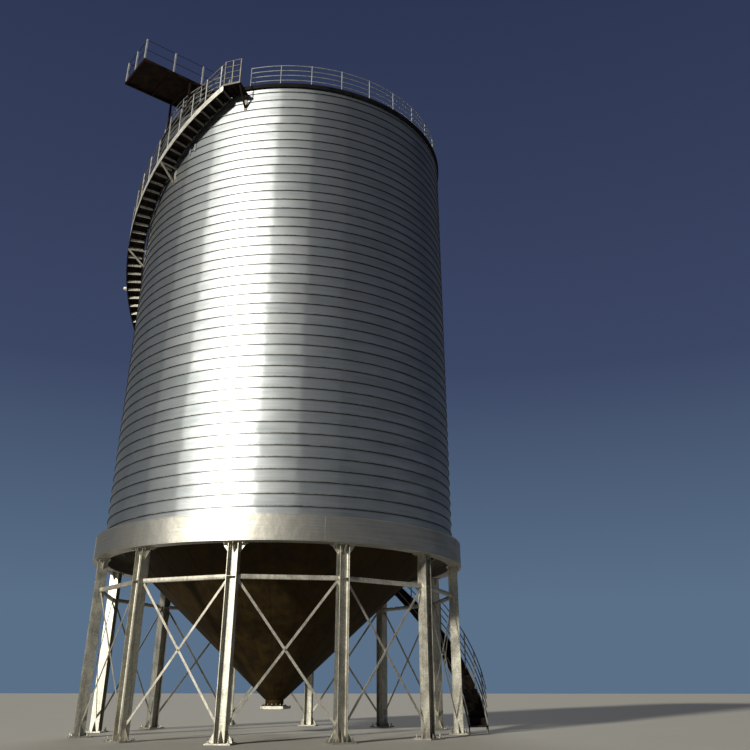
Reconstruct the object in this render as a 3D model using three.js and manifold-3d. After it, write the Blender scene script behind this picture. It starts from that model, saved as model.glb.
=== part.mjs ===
// Elevated grain silo: a round sheet-steel bin with a cone hopper, carried by a ring beam on
// twelve braced H-section legs, with a shallow cone roof, a roof walkway and a spiral stair.
// Millimetres, +Z up. The origin is on the silo's axis at the underside of the base plates.
// Angles are in degrees round the axis, from the -Y side towards the +X side.
import * as THREE from "three";
import { mergeVertices } from "three/addons/utils/BufferGeometryUtils.js";
import Module from "manifold-3d";

const wasm = await Module();
wasm.setup();

// Driving dimensions

const GAP = 0.3;
const FACET = 7.5; // one flat of the round walls, in degrees

const SHELL_R = 6050;
const SHELL_T = 60;
const SHELL_TOP = 21630;
const SHELL_SHEETS = 6;

const RING_R = 6350;
const RING_INNER_R = 5920;
const RING_BOTTOM = 5100;
const RING_TOP = 5850;
const RING_PLATE = 30;
const RING_SECTIONS = 4;

const HOPPER_SPREAD = 1.13; // widening of the cone per unit of height
const HOPPER_APEX_Z = 710;
const HOPPER_WALL = 75; // measured level
const HOPPER_MOUTH_R = 300;
const HOPPER_RIM_BOTTOM = 5960;
const HOPPER_RIM_TOP = 6040;

const OUTLET_FLANGE_R = 410;
const OUTLET_FLANGE_T = 30;
const OUTLET_BOTTOM = 800;
const GATE_SIDE = 780;
const GATE_LENGTH = 1150;
const GATE_T = 90;

const EAVE_R = 6130;
const EAVE_INNER_R = 5950;
const EAVE_TOP = 21760;
const ROOF_EDGE_R = 6120;
const ROOF_EDGE_T = 46;
const ROOF_WALL = 48; // measured upright
const ROOF_SEAT = 130; // width of the cone's flat bearing on the eave ring
const ROOF_HOLE_R = 430;
const ROOF_SLOPE = Math.tan(THREE.MathUtils.degToRad(13.5));
const CAP_R = 560;
const CAP_BOTTOM = 23130;
const CAP_FLANGE_T = 70;

const LEG_COUNT = 12;
const LEG_PITCH = 360 / LEG_COUNT;
const LEG_R = 6050;
const LEG_W = 305; // across the flanges, along the ring
const LEG_D = 310; // flange width, towards the axis
const LEG_FLANGE_T = 20;
const LEG_WEB_T = 16;
const BASE_PLATE = { w: 700, d: 620, t: 40 };
const CAP_PLATE = { w: 700, d: 420, t: 25 };
const GUSSET_T = 16;
const FOOT_GUSSET = { w: 170, h: 300, edge: 40 };
const HEAD_GUSSET = { w: 190, h: 290, edge: 50 };
const FACE_GUSSET_EXTRA = 30; // how much wider the gusset on the web is than those on the flanges

const TIE_Z = 4160;
const TIE_H = 130;
const TIE_D = 80;
const BRACE_TOP_Z = 4288; // heights at which the crossed bars' axes meet the legs' axes
const BRACE_FOOT_Z = 262;
const BRACE_W = 70;
const BRACE_T = 30;

const STAIR_TOP_Z = 21500;
const STAIR_TOP_ANGLE = -13.4;
const REST_Z = 6100;
const REST_SPAN = 8;
const REST_T = 120;
const UPPER_STAIR = {
  inner: 6130,
  outer: 6750,
  risers: 71,
  turn: 2.58,
  flights: 6,
  treadsPerPost: 2,
  brackets: [-38.2, -65.2, -92.2, -119.2, -146.2, -173.2],
};
const LOWER_STAIR = {
  inner: 6420,
  outer: 7050,
  risers: 28,
  turn: 2.27,
  flights: 2,
  treadsPerPost: 3,
  brackets: [],
};
const STRINGER_T = 40;
const STRINGER_ABOVE = 20;
const STRINGER_BELOW = 240;
const TREAD_T = 40;
const TREAD_CLEARANCE = 12; // daylight between one tread and the next
const TREAD_LAP = 20; // how far a tread's end reaches into its stringer
const RISER_T = 20;
const RISER_CLEARANCE = 6; // daylight between a riser and the tread above it
const STAIR_POST = 40;
const STAIR_RAIL = 34;
const STAIR_RAIL_HEIGHTS = [1080, 810, 540, 270];
const BRACKET_BAR = 60;
const BRACKET_DROP = 680;
const BRACKET_LAP = 20; // how far a bracket's level bar stands below the stringers' lower edge
const BRACKET_PLATE_W = 120;
const BRACKET_PLATE_T = 30;

const LANDING = { from: -13.35, to: -7.5, inner: 6070, outer: 6800, t: 80 };
const LANDING_STRUT = { in: 0.4, outward: 80, drop: 600 }; // in: degrees from the landing's end
const END_POST_IN = 0.25; // degrees from a platform's end to its last post

const ROOF_RAIL_R = 5970;
const ROOF_POST = 45;
const ROOF_RAIL = 36;
const ROOF_RAIL_START = -7.05;
const ROOF_POST_PITCH = 11.25;
const ROOF_RAIL_Z = [22780, 22545, 22310, 22075];

const WALK_ANGLE = -44.4;
const WALK_W = 1800;
const WALK_END = 8000;
const WALK_BACK = 700; // how far the walkway runs past the roof's centre
const WALK_BOTTOM = 23280;
const WALK_BEAM = { w: 60, h: 120 };
const WALK_PLATE_T = 30;
const WALK_INSET = 4; // cross-beams and plate lie this far inside the side beams
const WALK_BAYS = 7;
const WALK_RAIL_H = 960;
const WALK_POST = 60;
const WALK_RAIL = 20;
const WALK_POST_PITCH = 1230;
const WALK_RAIL_FROM = 760;
const TRESTLE_CROSSBAR = 100;
const TRESTLE_AT = 5985; // its legs stand on the roof's edge, outside the handrail
const TRESTLE_LEG = 70;

// Finishes

const GALVANISED = { color: 0xa3a7a8, roughness: 0.42, metalness: 0.9 };
const RING_SHEET = { color: 0xb4b1a8, roughness: 0.45, metalness: 0.85 };
const HOPPER_SHEET = { color: 0x4d4234, roughness: 0.7, metalness: 0.5 };
const LEG_PAINT = { color: 0xaeb0a6, roughness: 0.55, metalness: 0.4 };
const STAIR_STEEL = { color: 0x8b8a84, roughness: 0.6, metalness: 0.6 };
const EAVE_STEEL = { color: 0x3a3a3c, roughness: 0.6, metalness: 0.5 };
const RAIL_STEEL = { color: 0xc4c8cc, roughness: 0.45, metalness: 0.7 };
const DECK_STEEL = { color: 0x4b3a2e, roughness: 0.8, metalness: 0.3 };

// Solids

const rad = THREE.MathUtils.degToRad;

function solidOf(geometry) {
  const bare = geometry.clone();
  bare.deleteAttribute("normal");
  bare.deleteAttribute("uv");
  const merged = mergeVertices(bare, 1e-3);
  return new wasm.Manifold(
    new wasm.Mesh({
      numProp: 3,
      vertProperties: new Float32Array(merged.attributes.position.array),
      triVerts: new Uint32Array(merged.index.array),
    }),
  );
}

function fuse(geometries) {
  return geometries.map(solidOf).reduce((whole, piece) => whole.add(piece));
}

function geometryOf(solid) {
  const mesh = solid.getMesh();
  const geometry = new THREE.BufferGeometry();
  geometry.setAttribute("position", new THREE.BufferAttribute(mesh.vertProperties, 3));
  geometry.setIndex(new THREE.BufferAttribute(mesh.triVerts, 1));
  geometry.computeVertexNormals();
  return geometry;
}

const silo = new THREE.Group();

function addNode(name, solid, finish) {
  const mesh = new THREE.Mesh(geometryOf(solid), new THREE.MeshStandardMaterial(finish));
  mesh.name = name;
  silo.add(mesh);
}

// A closed outline of [radius, z] points swept round the axis. lift gives the rise at each angle.
function sweep(outline, angles, lift = () => 0) {
  const whole = angles.at(-1) - angles[0] > 359.99;
  const stations = whole ? angles.slice(0, -1) : angles;
  const n = outline.length;
  const points = stations.flatMap((angle) => {
    const a = rad(angle);
    return outline.flatMap(([r, z]) => [r * Math.sin(a), -r * Math.cos(a), z + lift(angle)]);
  });
  const faces = [];
  const spans = whole ? stations.length : stations.length - 1;
  for (let s = 0; s < spans; s += 1) {
    const here = s * n;
    const next = ((s + 1) % stations.length) * n;
    for (let i = 0; i < n; i += 1) {
      const j = (i + 1) % n;
      faces.push(here + i, next + i, next + j, here + i, next + j, here + j);
    }
  }
  if (!whole) {
    const flat = outline.map(([r, z]) => new THREE.Vector2(r, z));
    const last = (stations.length - 1) * n;
    for (const [a, b, c] of THREE.ShapeUtils.triangulateShape(flat, [])) {
      faces.push(a, b, c, last + a, last + c, last + b);
    }
  }
  const geometry = new THREE.BufferGeometry();
  geometry.setAttribute("position", new THREE.Float32BufferAttribute(points, 3));
  geometry.setIndex(faces);
  return geometry;
}

function stations(from, to, step) {
  const count = Math.max(1, Math.round((to - from) / step));
  return Array.from({ length: count + 1 }, (_, i) => from + ((to - from) * i) / count);
}

// A box in the frame of one angle: along the ring, outward from the axis, and up.
function boxAt(angle, along, outward, up) {
  const [a0, a1] = along;
  const [r0, r1] = outward;
  const [z0, z1] = up;
  const geometry = new THREE.BoxGeometry(a1 - a0, r1 - r0, z1 - z0);
  geometry.translate((a0 + a1) / 2, -(r0 + r1) / 2, (z0 + z1) / 2);
  return geometry.rotateZ(rad(angle));
}

// An upright plate in the frame of one angle: an outline of [along, z], with its thickness outward.
function plateAlong(angle, outline, r, thickness) {
  const shape = new THREE.Shape(outline.map(([x, z]) => new THREE.Vector2(x, z)));
  const geometry = new THREE.ExtrudeGeometry(shape, { depth: thickness, bevelEnabled: false });
  geometry.rotateX(Math.PI / 2);
  geometry.translate(0, -r + thickness / 2, 0);
  return geometry.rotateZ(rad(angle));
}

// An upright plate in the frame of one angle: an outline of [outward, z], with its thickness along.
function plateOutward(angle, outline, thickness) {
  const shape = new THREE.Shape(outline.map(([r, z]) => new THREE.Vector2(-r, z)));
  const geometry = new THREE.ExtrudeGeometry(shape, { depth: thickness, bevelEnabled: false });
  geometry.applyMatrix4(
    new THREE.Matrix4().makeBasis(
      new THREE.Vector3(0, 1, 0),
      new THREE.Vector3(0, 0, 1),
      new THREE.Vector3(1, 0, 0),
    ),
  );
  geometry.translate(-thickness / 2, 0, 0);
  return geometry.rotateZ(rad(angle));
}

// A straight bar of rectangular section between two points, with its width in the upright plane.
function bar(start, end, width, thickness) {
  const line = new THREE.Vector3().subVectors(end, start);
  const length = line.length();
  const x = line.clone().normalize();
  const y = new THREE.Vector3(0, 0, 1).cross(x).normalize();
  const z = new THREE.Vector3().crossVectors(x, y);
  const geometry = new THREE.BoxGeometry(length, thickness, width);
  const middle = new THREE.Vector3().addVectors(start, end).multiplyScalar(0.5);
  return geometry.applyMatrix4(new THREE.Matrix4().makeBasis(x, y, z).setPosition(middle));
}

function pointAt(angle, r, z, along = 0) {
  return new THREE.Vector3(along, -r, z).applyAxisAngle(new THREE.Vector3(0, 0, 1), rad(angle));
}

function facetMiddle(angle) {
  return (Math.floor(angle / FACET) + 0.5) * FACET;
}

// A plate that lies flat on the bin wall's facet at an angle, and reaches outward to a radius.
function wallPlate(angle, width, outer, up) {
  const middle = facetMiddle(angle);
  const flat = SHELL_R * Math.cos(rad(FACET / 2));
  const x = flat * Math.tan(rad(angle - middle));
  return boxAt(middle, [x - width / 2, x + width / 2], [flat + GAP, outer], up);
}

// Bin wall: sheets that stand on the ring beam

function gapAngle(r) {
  return THREE.MathUtils.radToDeg(GAP / r);
}

function makeShell() {
  const span = 360 / SHELL_SHEETS;
  const slack = gapAngle(SHELL_R) / 2;
  const outline = [
    [SHELL_R - SHELL_T, RING_TOP + GAP],
    [SHELL_R, RING_TOP + GAP],
    [SHELL_R, SHELL_TOP],
    [SHELL_R - SHELL_T, SHELL_TOP],
  ];
  for (let i = 0; i < SHELL_SHEETS; i += 1) {
    const from = i * span;
    const angles = stations(from, from + span, FACET);
    angles[0] += slack;
    angles[angles.length - 1] -= slack;
    addNode(`shell_wall_${i + 1}`, solidOf(sweep(outline, angles)), GALVANISED);
  }
}

// Ring beam: a deep channel, open to the inside, whose web is the plain band under the bin

function makeRing() {
  const span = 360 / RING_SECTIONS;
  const slack = gapAngle(RING_R) / 2;
  const web = RING_R - RING_PLATE;
  const outline = [
    [RING_INNER_R, RING_BOTTOM],
    [RING_R, RING_BOTTOM],
    [RING_R, RING_TOP],
    [RING_INNER_R, RING_TOP],
    [RING_INNER_R, RING_TOP - RING_PLATE],
    [web, RING_TOP - RING_PLATE],
    [web, RING_BOTTOM + RING_PLATE],
    [RING_INNER_R, RING_BOTTOM + RING_PLATE],
  ];
  for (let i = 0; i < RING_SECTIONS; i += 1) {
    const from = i * span + LEG_PITCH / 2;
    const angles = stations(from, from + span, FACET);
    angles[0] += slack;
    angles[angles.length - 1] -= slack;
    addNode(`ring_beam_${i + 1}`, solidOf(sweep(outline, angles)), RING_SHEET);
  }
}

// Hopper cone, its outlet and the slide gate under it

function makeHopper() {
  const heightAt = (r) => HOPPER_APEX_Z + r / HOPPER_SPREAD;
  const mouthZ = heightAt(HOPPER_MOUTH_R);
  const rimR = SHELL_R - SHELL_T - GAP;
  const coneTopR = (HOPPER_RIM_BOTTOM - HOPPER_APEX_Z) * HOPPER_SPREAD;
  const innerTopR = (HOPPER_RIM_TOP - HOPPER_APEX_Z) * HOPPER_SPREAD - HOPPER_WALL;
  const cone = [
    [HOPPER_MOUTH_R - HOPPER_WALL, mouthZ],
    [HOPPER_MOUTH_R, mouthZ],
    [coneTopR, HOPPER_RIM_BOTTOM],
    [rimR, HOPPER_RIM_BOTTOM],
    [rimR, HOPPER_RIM_TOP],
    [innerTopR, HOPPER_RIM_TOP],
  ];
  addNode("hopper_cone", solidOf(sweep(cone, stations(0, 360, FACET))), HOPPER_SHEET);

  const flangeTop = OUTLET_BOTTOM + OUTLET_FLANGE_T;
  const collar = [
    [HOPPER_MOUTH_R - HOPPER_WALL, OUTLET_BOTTOM],
    [OUTLET_FLANGE_R, OUTLET_BOTTOM],
    [OUTLET_FLANGE_R, flangeTop],
    [HOPPER_MOUTH_R, flangeTop],
    [HOPPER_MOUTH_R, mouthZ - GAP],
    [HOPPER_MOUTH_R - HOPPER_WALL, mouthZ - GAP],
  ];
  addNode("outlet_collar", solidOf(sweep(collar, stations(0, 360, 22.5))), HOPPER_SHEET);

  const half = GATE_SIDE / 2;
  const gate = boxAt(
    0,
    [-half, half],
    [half - GATE_LENGTH, half],
    [OUTLET_BOTTOM - GAP - GATE_T, OUTLET_BOTTOM - GAP],
  );
  addNode("slide_gate", solidOf(gate), LEG_PAINT);
}

// Roof: eave ring, cone and the cap over the filling hole

function roofTopAt(r) {
  return EAVE_TOP + GAP + ROOF_EDGE_T + (ROOF_EDGE_R - r) * ROOF_SLOPE;
}

// Height of the flat roof facet under a point of the frame of one angle.
function roofUnder(angle, along, outward) {
  const r = Math.hypot(along, outward);
  const turned = angle + THREE.MathUtils.radToDeg(Math.atan2(along, outward));
  const fromMiddle = turned - facetMiddle(turned);
  return roofTopAt((r * Math.cos(rad(fromMiddle))) / Math.cos(rad(FACET / 2)));
}

// Lowest height at which a square foot clears the roof.
function roofFoot(angle, along, outward) {
  const corners = along.flatMap((a) => outward.map((r) => roofUnder(angle, a, r)));
  return Math.max(...corners) + GAP;
}

function makeRoof() {
  const round = stations(0, 360, FACET);
  const eave = [
    [EAVE_INNER_R, SHELL_TOP + GAP],
    [EAVE_R, SHELL_TOP + GAP],
    [EAVE_R, EAVE_TOP],
    [EAVE_INNER_R, EAVE_TOP],
  ];
  addNode("eave_ring", solidOf(sweep(eave, round)), EAVE_STEEL);

  const seatR = ROOF_EDGE_R - ROOF_SEAT;
  const cone = [
    [seatR, EAVE_TOP + GAP],
    [ROOF_EDGE_R, EAVE_TOP + GAP],
    [ROOF_EDGE_R, roofTopAt(ROOF_EDGE_R)],
    [ROOF_HOLE_R, roofTopAt(ROOF_HOLE_R)],
    [ROOF_HOLE_R, roofTopAt(ROOF_HOLE_R) - ROOF_WALL],
    [seatR, roofTopAt(seatR) - ROOF_WALL],
  ];
  addNode("roof_cone", solidOf(sweep(cone, round)), GALVANISED);

  const neckR = ROOF_HOLE_R - GAP;
  const top = WALK_BOTTOM + WALK_INSET - GAP;
  const neck = new THREE.CylinderGeometry(neckR, neckR, top - CAP_BOTTOM, 360 / FACET);
  neck.rotateX(Math.PI / 2).translate(0, 0, (top + CAP_BOTTOM) / 2);
  const lid = new THREE.CylinderGeometry(CAP_R, CAP_R, CAP_FLANGE_T, 360 / FACET);
  lid.rotateX(Math.PI / 2).translate(0, 0, top - CAP_FLANGE_T / 2);
  addNode("roof_cap", fuse([neck, lid]), GALVANISED);
}

// Legs: H-sections with base plate, cap plate, stiffeners and flared gussets

function legGussets(angle, z, up, size) {
  const half = LEG_W / 2;
  const tip = z + up * size.edge;
  const far = z + up * size.h;
  const side = [
    [half - 2, z],
    [half + size.w, z],
    [half + size.w, tip],
    [half - 2, far],
  ];
  const mirrored = side.map(([x, y]) => [-x, y]);
  const faceR = LEG_R + size.w + FACE_GUSSET_EXTRA;
  const face = [
    [LEG_R, z],
    [faceR, z],
    [faceR, tip],
    [LEG_R + LEG_WEB_T / 2, far],
    [LEG_R, far],
  ];
  return [
    plateAlong(angle, side, LEG_R, GUSSET_T),
    plateAlong(angle, mirrored, LEG_R, GUSSET_T),
    plateOutward(angle, face, GUSSET_T),
  ];
}

function makeLeg(index) {
  const angle = index * LEG_PITCH;
  const half = LEG_W / 2;
  const inside = half - LEG_FLANGE_T;
  const deep = [LEG_R - LEG_D / 2, LEG_R + LEG_D / 2];
  const web = [LEG_R - LEG_WEB_T / 2, LEG_R + LEG_WEB_T / 2];
  const top = RING_BOTTOM - GAP;
  const shaft = [BASE_PLATE.t - 5, top - CAP_PLATE.t + 5];
  const plate = (size, up) =>
    boxAt(angle, [-size.w / 2, size.w / 2], [LEG_R - size.d / 2, LEG_R + size.d / 2], up);
  addNode(
    `leg_${index + 1}`,
    fuse([
      boxAt(angle, [-half, -inside], deep, shaft),
      boxAt(angle, [inside, half], deep, shaft),
      boxAt(angle, [-inside - 2, inside + 2], web, shaft),
      boxAt(angle, [-inside - 2, inside + 2], deep, [TIE_Z - GUSSET_T / 2, TIE_Z + GUSSET_T / 2]),
      plate(BASE_PLATE, [0, BASE_PLATE.t]),
      plate(CAP_PLATE, [top - CAP_PLATE.t, top]),
      ...legGussets(angle, BASE_PLATE.t - 2, 1, FOOT_GUSSET),
      ...legGussets(angle, top - CAP_PLATE.t + 2, -1, HEAD_GUSSET),
    ]),
    LEG_PAINT,
  );
}

// Bracing between two legs: a tie and two crossed bars, all cut to the legs' flanges

function makeBay(index) {
  const angle = (index + 0.5) * LEG_PITCH;
  const tilt = rad(LEG_PITCH / 2);
  const chordR = LEG_R * Math.cos(tilt);
  const half = LEG_R * Math.sin(tilt);
  const deep = [chordR - TIE_D / 2, chordR + TIE_D / 2];
  const crossing = (side) =>
    bar(
      pointAt(angle, chordR, BRACE_FOOT_Z, -side * half),
      pointAt(angle, chordR, BRACE_TOP_Z, side * half),
      BRACE_W,
      BRACE_T,
    );
  const whole = fuse([
    boxAt(angle, [-half, half], deep, [TIE_Z - TIE_H / 2, TIE_Z + TIE_H / 2]),
    crossing(1),
    crossing(-1),
  ]);
  const awayFrom = (leg, side) => {
    const a = rad(leg * LEG_PITCH);
    return [side * Math.cos(a), side * Math.sin(a), 0];
  };
  const flange = LEG_W / 2 + GAP;
  addNode(
    `bay_bracing_${index + 1}`,
    whole.trimByPlane(awayFrom(index, 1), flange).trimByPlane(awayFrom(index + 1, -1), flange),
    RAIL_STEEL,
  );
}

// Spiral stair

function stringer(inner, angles, line) {
  const outline = [
    [inner, -STRINGER_BELOW],
    [inner + STRINGER_T, -STRINGER_BELOW],
    [inner + STRINGER_T, STRINGER_ABOVE],
    [inner, STRINGER_ABOVE],
  ];
  return sweep(outline, angles, line);
}

function railBar(r, height, size, angles, line) {
  const half = size / 2;
  const outline = [
    [r - half, height - half],
    [r + half, height - half],
    [r + half, height + half],
    [r - half, height + half],
  ];
  return sweep(outline, angles, line);
}

function stairPost(angle, r, up) {
  const half = STAIR_POST / 2;
  return boxAt(angle, [-half, half], [r - half, r + half], up);
}

// A knee bracket from the outer stringer down to the bin wall, with a level bar on top.
function kneeBracket(stair, angle, top) {
  const half = BRACKET_BAR / 2;
  return [
    boxAt(angle, [-half, half], [SHELL_R + 5, stair.outer - 10], [top, top + BRACKET_BAR]),
    bar(
      pointAt(angle, stair.outer - STRINGER_T, top + 10),
      pointAt(angle, SHELL_R + BRACKET_PLATE_T + 15, top - BRACKET_DROP + BRACKET_BAR),
      BRACKET_BAR,
      BRACKET_BAR,
    ),
    wallPlate(angle, BRACKET_PLATE_W, SHELL_R + BRACKET_PLATE_T, [
      top - BRACKET_DROP,
      top + BRACKET_BAR + 10,
    ]),
  ];
}

// The last flight's stringers end on the floor.
function aboveFloor(solid) {
  const { min, max } = solid.boundingBox();
  if (min[2] >= 0) return solid;
  const reach = Math.max(...min.map(Math.abs), ...max.map(Math.abs)) + 1;
  const below = boxAt(0, [-reach, reach], [-reach, reach], [min[2] - 1, 0]);
  return solid.subtract(solidOf(below));
}

function makeFlight(name, stair, topZ, topAngle, first, count) {
  const rise = stair.rise;
  const line = (angle) => topZ - (rise * (topAngle - angle)) / stair.turn;
  const slack = gapAngle(stair.outer) / 2;
  const high = topAngle - stair.turn * first - slack;
  const low = topAngle - stair.turn * (first + count) + slack;
  const coarse = stations(low, high, stair.turn * 3);
  const treadR = [
    stair.inner + STRINGER_T - TREAD_LAP,
    stair.outer - STRINGER_T + TREAD_LAP,
  ];
  const solids = [
    stringer(stair.inner, coarse, line),
    stringer(stair.outer - STRINGER_T, coarse, line),
  ];
  const back = (rad(stair.turn) * stair.inner - TREAD_CLEARANCE) / 2;
  for (let i = first; i < first + count; i += 1) {
    const angle = topAngle - stair.turn * (i + 0.5);
    const z = topZ - rise * (i + 1);
    const riserTop = z + rise - TREAD_T - RISER_CLEARANCE;
    const step = [
      [-back, z - TREAD_T],
      [back, z - TREAD_T],
      [back, riserTop],
      [back - RISER_T, riserTop],
      [back - RISER_T, z],
      [-back, z],
    ];
    solids.push(plateAlong(angle, step, (treadR[0] + treadR[1]) / 2, treadR[1] - treadR[0]));
  }
  const railR = stair.outer - STRINGER_T / 2;
  const posts = [];
  for (let i = first + count - 1; i >= first; i -= 1) {
    if (i % stair.treadsPerPost === 0) posts.push(topAngle - stair.turn * (i + 0.5));
  }
  for (const height of STAIR_RAIL_HEIGHTS) {
    solids.push(railBar(railR, height, STAIR_RAIL, [low, ...posts, high], line));
  }
  for (const angle of posts) {
    const height = line(angle);
    solids.push(
      stairPost(angle, railR, [height - STRINGER_BELOW / 2, height + STAIR_RAIL_HEIGHTS[0]]),
    );
  }
  for (const angle of stair.brackets.filter((a) => a > low && a < high)) {
    solids.push(...kneeBracket(stair, angle, line(angle) - STRINGER_BELOW - BRACKET_LAP));
  }
  addNode(name, aboveFloor(fuse(solids)), STAIR_STEEL);
}

UPPER_STAIR.rise = (STAIR_TOP_Z - REST_Z) / UPPER_STAIR.risers;
LOWER_STAIR.rise = REST_Z / LOWER_STAIR.risers;

function makeFlights(stair, label, topZ, topAngle) {
  const treads = stair.risers - 1;
  for (let f = 0; f < stair.flights; f += 1) {
    const first = Math.floor((treads * f) / stair.flights);
    const next = Math.floor((treads * (f + 1)) / stair.flights);
    makeFlight(`${label}_${f + 1}`, stair, topZ, topAngle, first, next - first);
  }
}

function platform(from, to, inner, outer, z, thickness) {
  const outline = [
    [inner, z - thickness],
    [outer, z - thickness],
    [outer, z],
    [inner, z],
  ];
  return sweep(outline, stations(from, to, FACET / 2));
}

function platformRail(from, to, r, z, thickness) {
  const angles = stations(from, to, FACET / 2);
  const level = () => z;
  const solids = STAIR_RAIL_HEIGHTS.map((h) => railBar(r, h, STAIR_RAIL, angles, level));
  for (const angle of [from + END_POST_IN, (from + to) / 2, to - END_POST_IN]) {
    solids.push(stairPost(angle, r, [z - thickness / 2, z + STAIR_RAIL_HEIGHTS[0]]));
  }
  return solids;
}

function makeStair() {
  makeFlights(UPPER_STAIR, "stair_flight", STAIR_TOP_Z, STAIR_TOP_ANGLE);
  const restTop = STAIR_TOP_ANGLE - UPPER_STAIR.turn * (UPPER_STAIR.risers - 1);
  const restEnd = restTop - REST_SPAN;
  makeFlights(LOWER_STAIR, "lower_flight", REST_Z, restEnd);

  const slack = gapAngle(UPPER_STAIR.inner);
  const span = [restEnd + slack, restTop - slack];
  const seatTop = REST_Z - REST_T + 20;
  const rest = [
    platform(...span, SHELL_R + 40, LOWER_STAIR.outer, REST_Z, REST_T),
    platform(...span, SHELL_R + 40, RING_R - 20, seatTop, seatTop - RING_TOP - GAP),
    ...platformRail(...span, LOWER_STAIR.outer - 40, REST_Z, REST_T),
  ];
  addNode("rest_landing", fuse(rest), STAIR_STEEL);

  const { from, to, inner, outer, t } = LANDING;
  const under = STAIR_TOP_Z - t;
  const strut = to - LANDING_STRUT.in;
  const strutFoot = under - LANDING_STRUT.drop;
  const top = [
    platform(from, to, inner, outer, STAIR_TOP_Z, t),
    ...platformRail(from, to, outer - 30, STAIR_TOP_Z, t),
    bar(
      pointAt(strut, outer - LANDING_STRUT.outward, under + 20),
      pointAt(strut, inner + 30, strutFoot),
      BRACKET_BAR,
      BRACKET_BAR,
    ),
    wallPlate(strut, BRACKET_PLATE_W, inner + 20, [strutFoot - 80, STAIR_TOP_Z - 20]),
  ];
  addNode("top_landing", fuse(top), STAIR_STEEL);
}

// Handrail round the roof's edge, open where the stair arrives

function makeRoofRail(name, firstPost, posts, closing) {
  const at = (i) => ROOF_RAIL_START + ROOF_POST_PITCH * (firstPost + i);
  const slack = THREE.MathUtils.radToDeg((ROOF_POST / 2 + GAP) / ROOF_RAIL_R);
  const ends = posts - 1 + (closing ? 1 : 0);
  const angles = stations(at(0), at(ends), ROOF_POST_PITCH);
  if (closing) angles[angles.length - 1] -= slack;
  const solids = ROOF_RAIL_Z.map((z) => railBar(ROOF_RAIL_R, z, ROOF_RAIL, angles));
  const along = [-ROOF_POST / 2, ROOF_POST / 2];
  const outward = along.map((offset) => ROOF_RAIL_R + offset);
  for (let i = 0; i < posts; i += 1) {
    const foot = roofFoot(at(i), along, outward);
    solids.push(boxAt(at(i), along, outward, [foot, ROOF_RAIL_Z[0] + ROOF_RAIL / 2 + 2]));
  }
  addNode(name, fuse(solids), RAIL_STEEL);
}

// Walkway from the roof's centre to past the eave, its rails and the trestle that carries it

function makeWalkway() {
  const half = WALK_W / 2;
  const top = WALK_BOTTOM + WALK_BEAM.h;
  const box = (along, outward, up) => boxAt(WALK_ANGLE, along, outward, up);
  const length = [-WALK_BACK, WALK_END];
  const depth = [WALK_BOTTOM, top];
  const inner = half - WALK_BEAM.w / 2;
  const seat = WALK_BOTTOM + WALK_INSET;
  const beamAt = (r) => box([-inner, inner], [r, r + WALK_BEAM.w], [seat, top - 10]);
  const lastBeam = WALK_END - WALK_BEAM.w - WALK_INSET;
  const deck = [
    box([-inner, inner], [WALK_INSET - WALK_BACK, WALK_END - WALK_INSET], [top - WALK_PLATE_T, top - 2]),
    box([-half, -half + WALK_BEAM.w], length, depth),
    box([half - WALK_BEAM.w, half], length, depth),
    beamAt(WALK_INSET - WALK_BACK),
  ];
  for (let i = 0; i <= WALK_BAYS; i += 1) {
    deck.push(beamAt(-WALK_BEAM.w / 2 + ((lastBeam + WALK_BEAM.w / 2) * i) / WALK_BAYS));
  }
  addNode("walkway_deck", fuse(deck), DECK_STEEL);

  const side = half - WALK_POST / 2 - 5;
  const endR = WALK_END - WALK_POST / 2 - 5;
  const foot = top + GAP;
  const rails = [];
  for (const height of [WALK_RAIL_H, WALK_RAIL_H / 2]) {
    const up = [foot + height - WALK_RAIL, foot + height];
    for (const s of [-side, side]) {
      const along = [s - WALK_RAIL / 2, s + WALK_RAIL / 2];
      rails.push(box(along, [WALK_RAIL_FROM, endR], up));
    }
    rails.push(box([-side, side], [endR - WALK_RAIL / 2, endR + WALK_RAIL / 2], up));
  }
  const post = (a, r) =>
    box(
      [a - WALK_POST / 2, a + WALK_POST / 2],
      [r - WALK_POST / 2, r + WALK_POST / 2],
      [foot, foot + WALK_RAIL_H + 10],
    );
  rails.push(post(0, endR));
  for (let r = endR; r > WALK_RAIL_FROM; r -= WALK_POST_PITCH) {
    rails.push(post(-side, r), post(side, r));
  }
  addNode("walkway_rail", fuse(rails), RAIL_STEEL);

  const beamTop = WALK_BOTTOM - GAP;
  const depthwise = [TRESTLE_AT - TRESTLE_LEG / 2, TRESTLE_AT + TRESTLE_LEG / 2];
  const legs = [-1, 1].map((s) => {
    const a = s * (half - TRESTLE_LEG / 2);
    const along = [a - TRESTLE_LEG / 2, a + TRESTLE_LEG / 2];
    return box(along, depthwise, [roofFoot(WALK_ANGLE, along, depthwise), beamTop]);
  });
  const crossbar = [beamTop - TRESTLE_CROSSBAR, beamTop];
  legs.push(box([-half + 2, half - 2], [depthwise[0] + 2, depthwise[1] - 2], crossbar));
  addNode("walkway_trestle", fuse(legs), STAIR_STEEL);
}

makeShell();
makeRing();
makeHopper();
makeRoof();
for (let i = 0; i < LEG_COUNT; i += 1) makeLeg(i);
for (let i = 0; i < LEG_COUNT; i += 1) makeBay(i);
makeStair();
makeRoofRail("roof_rail_1", 0, 16, true);
makeRoofRail("roof_rail_2", 16, 16, false);
makeWalkway();

export default silo;
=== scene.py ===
import math

import bmesh
import bpy
from mathutils import Matrix, Vector


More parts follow.
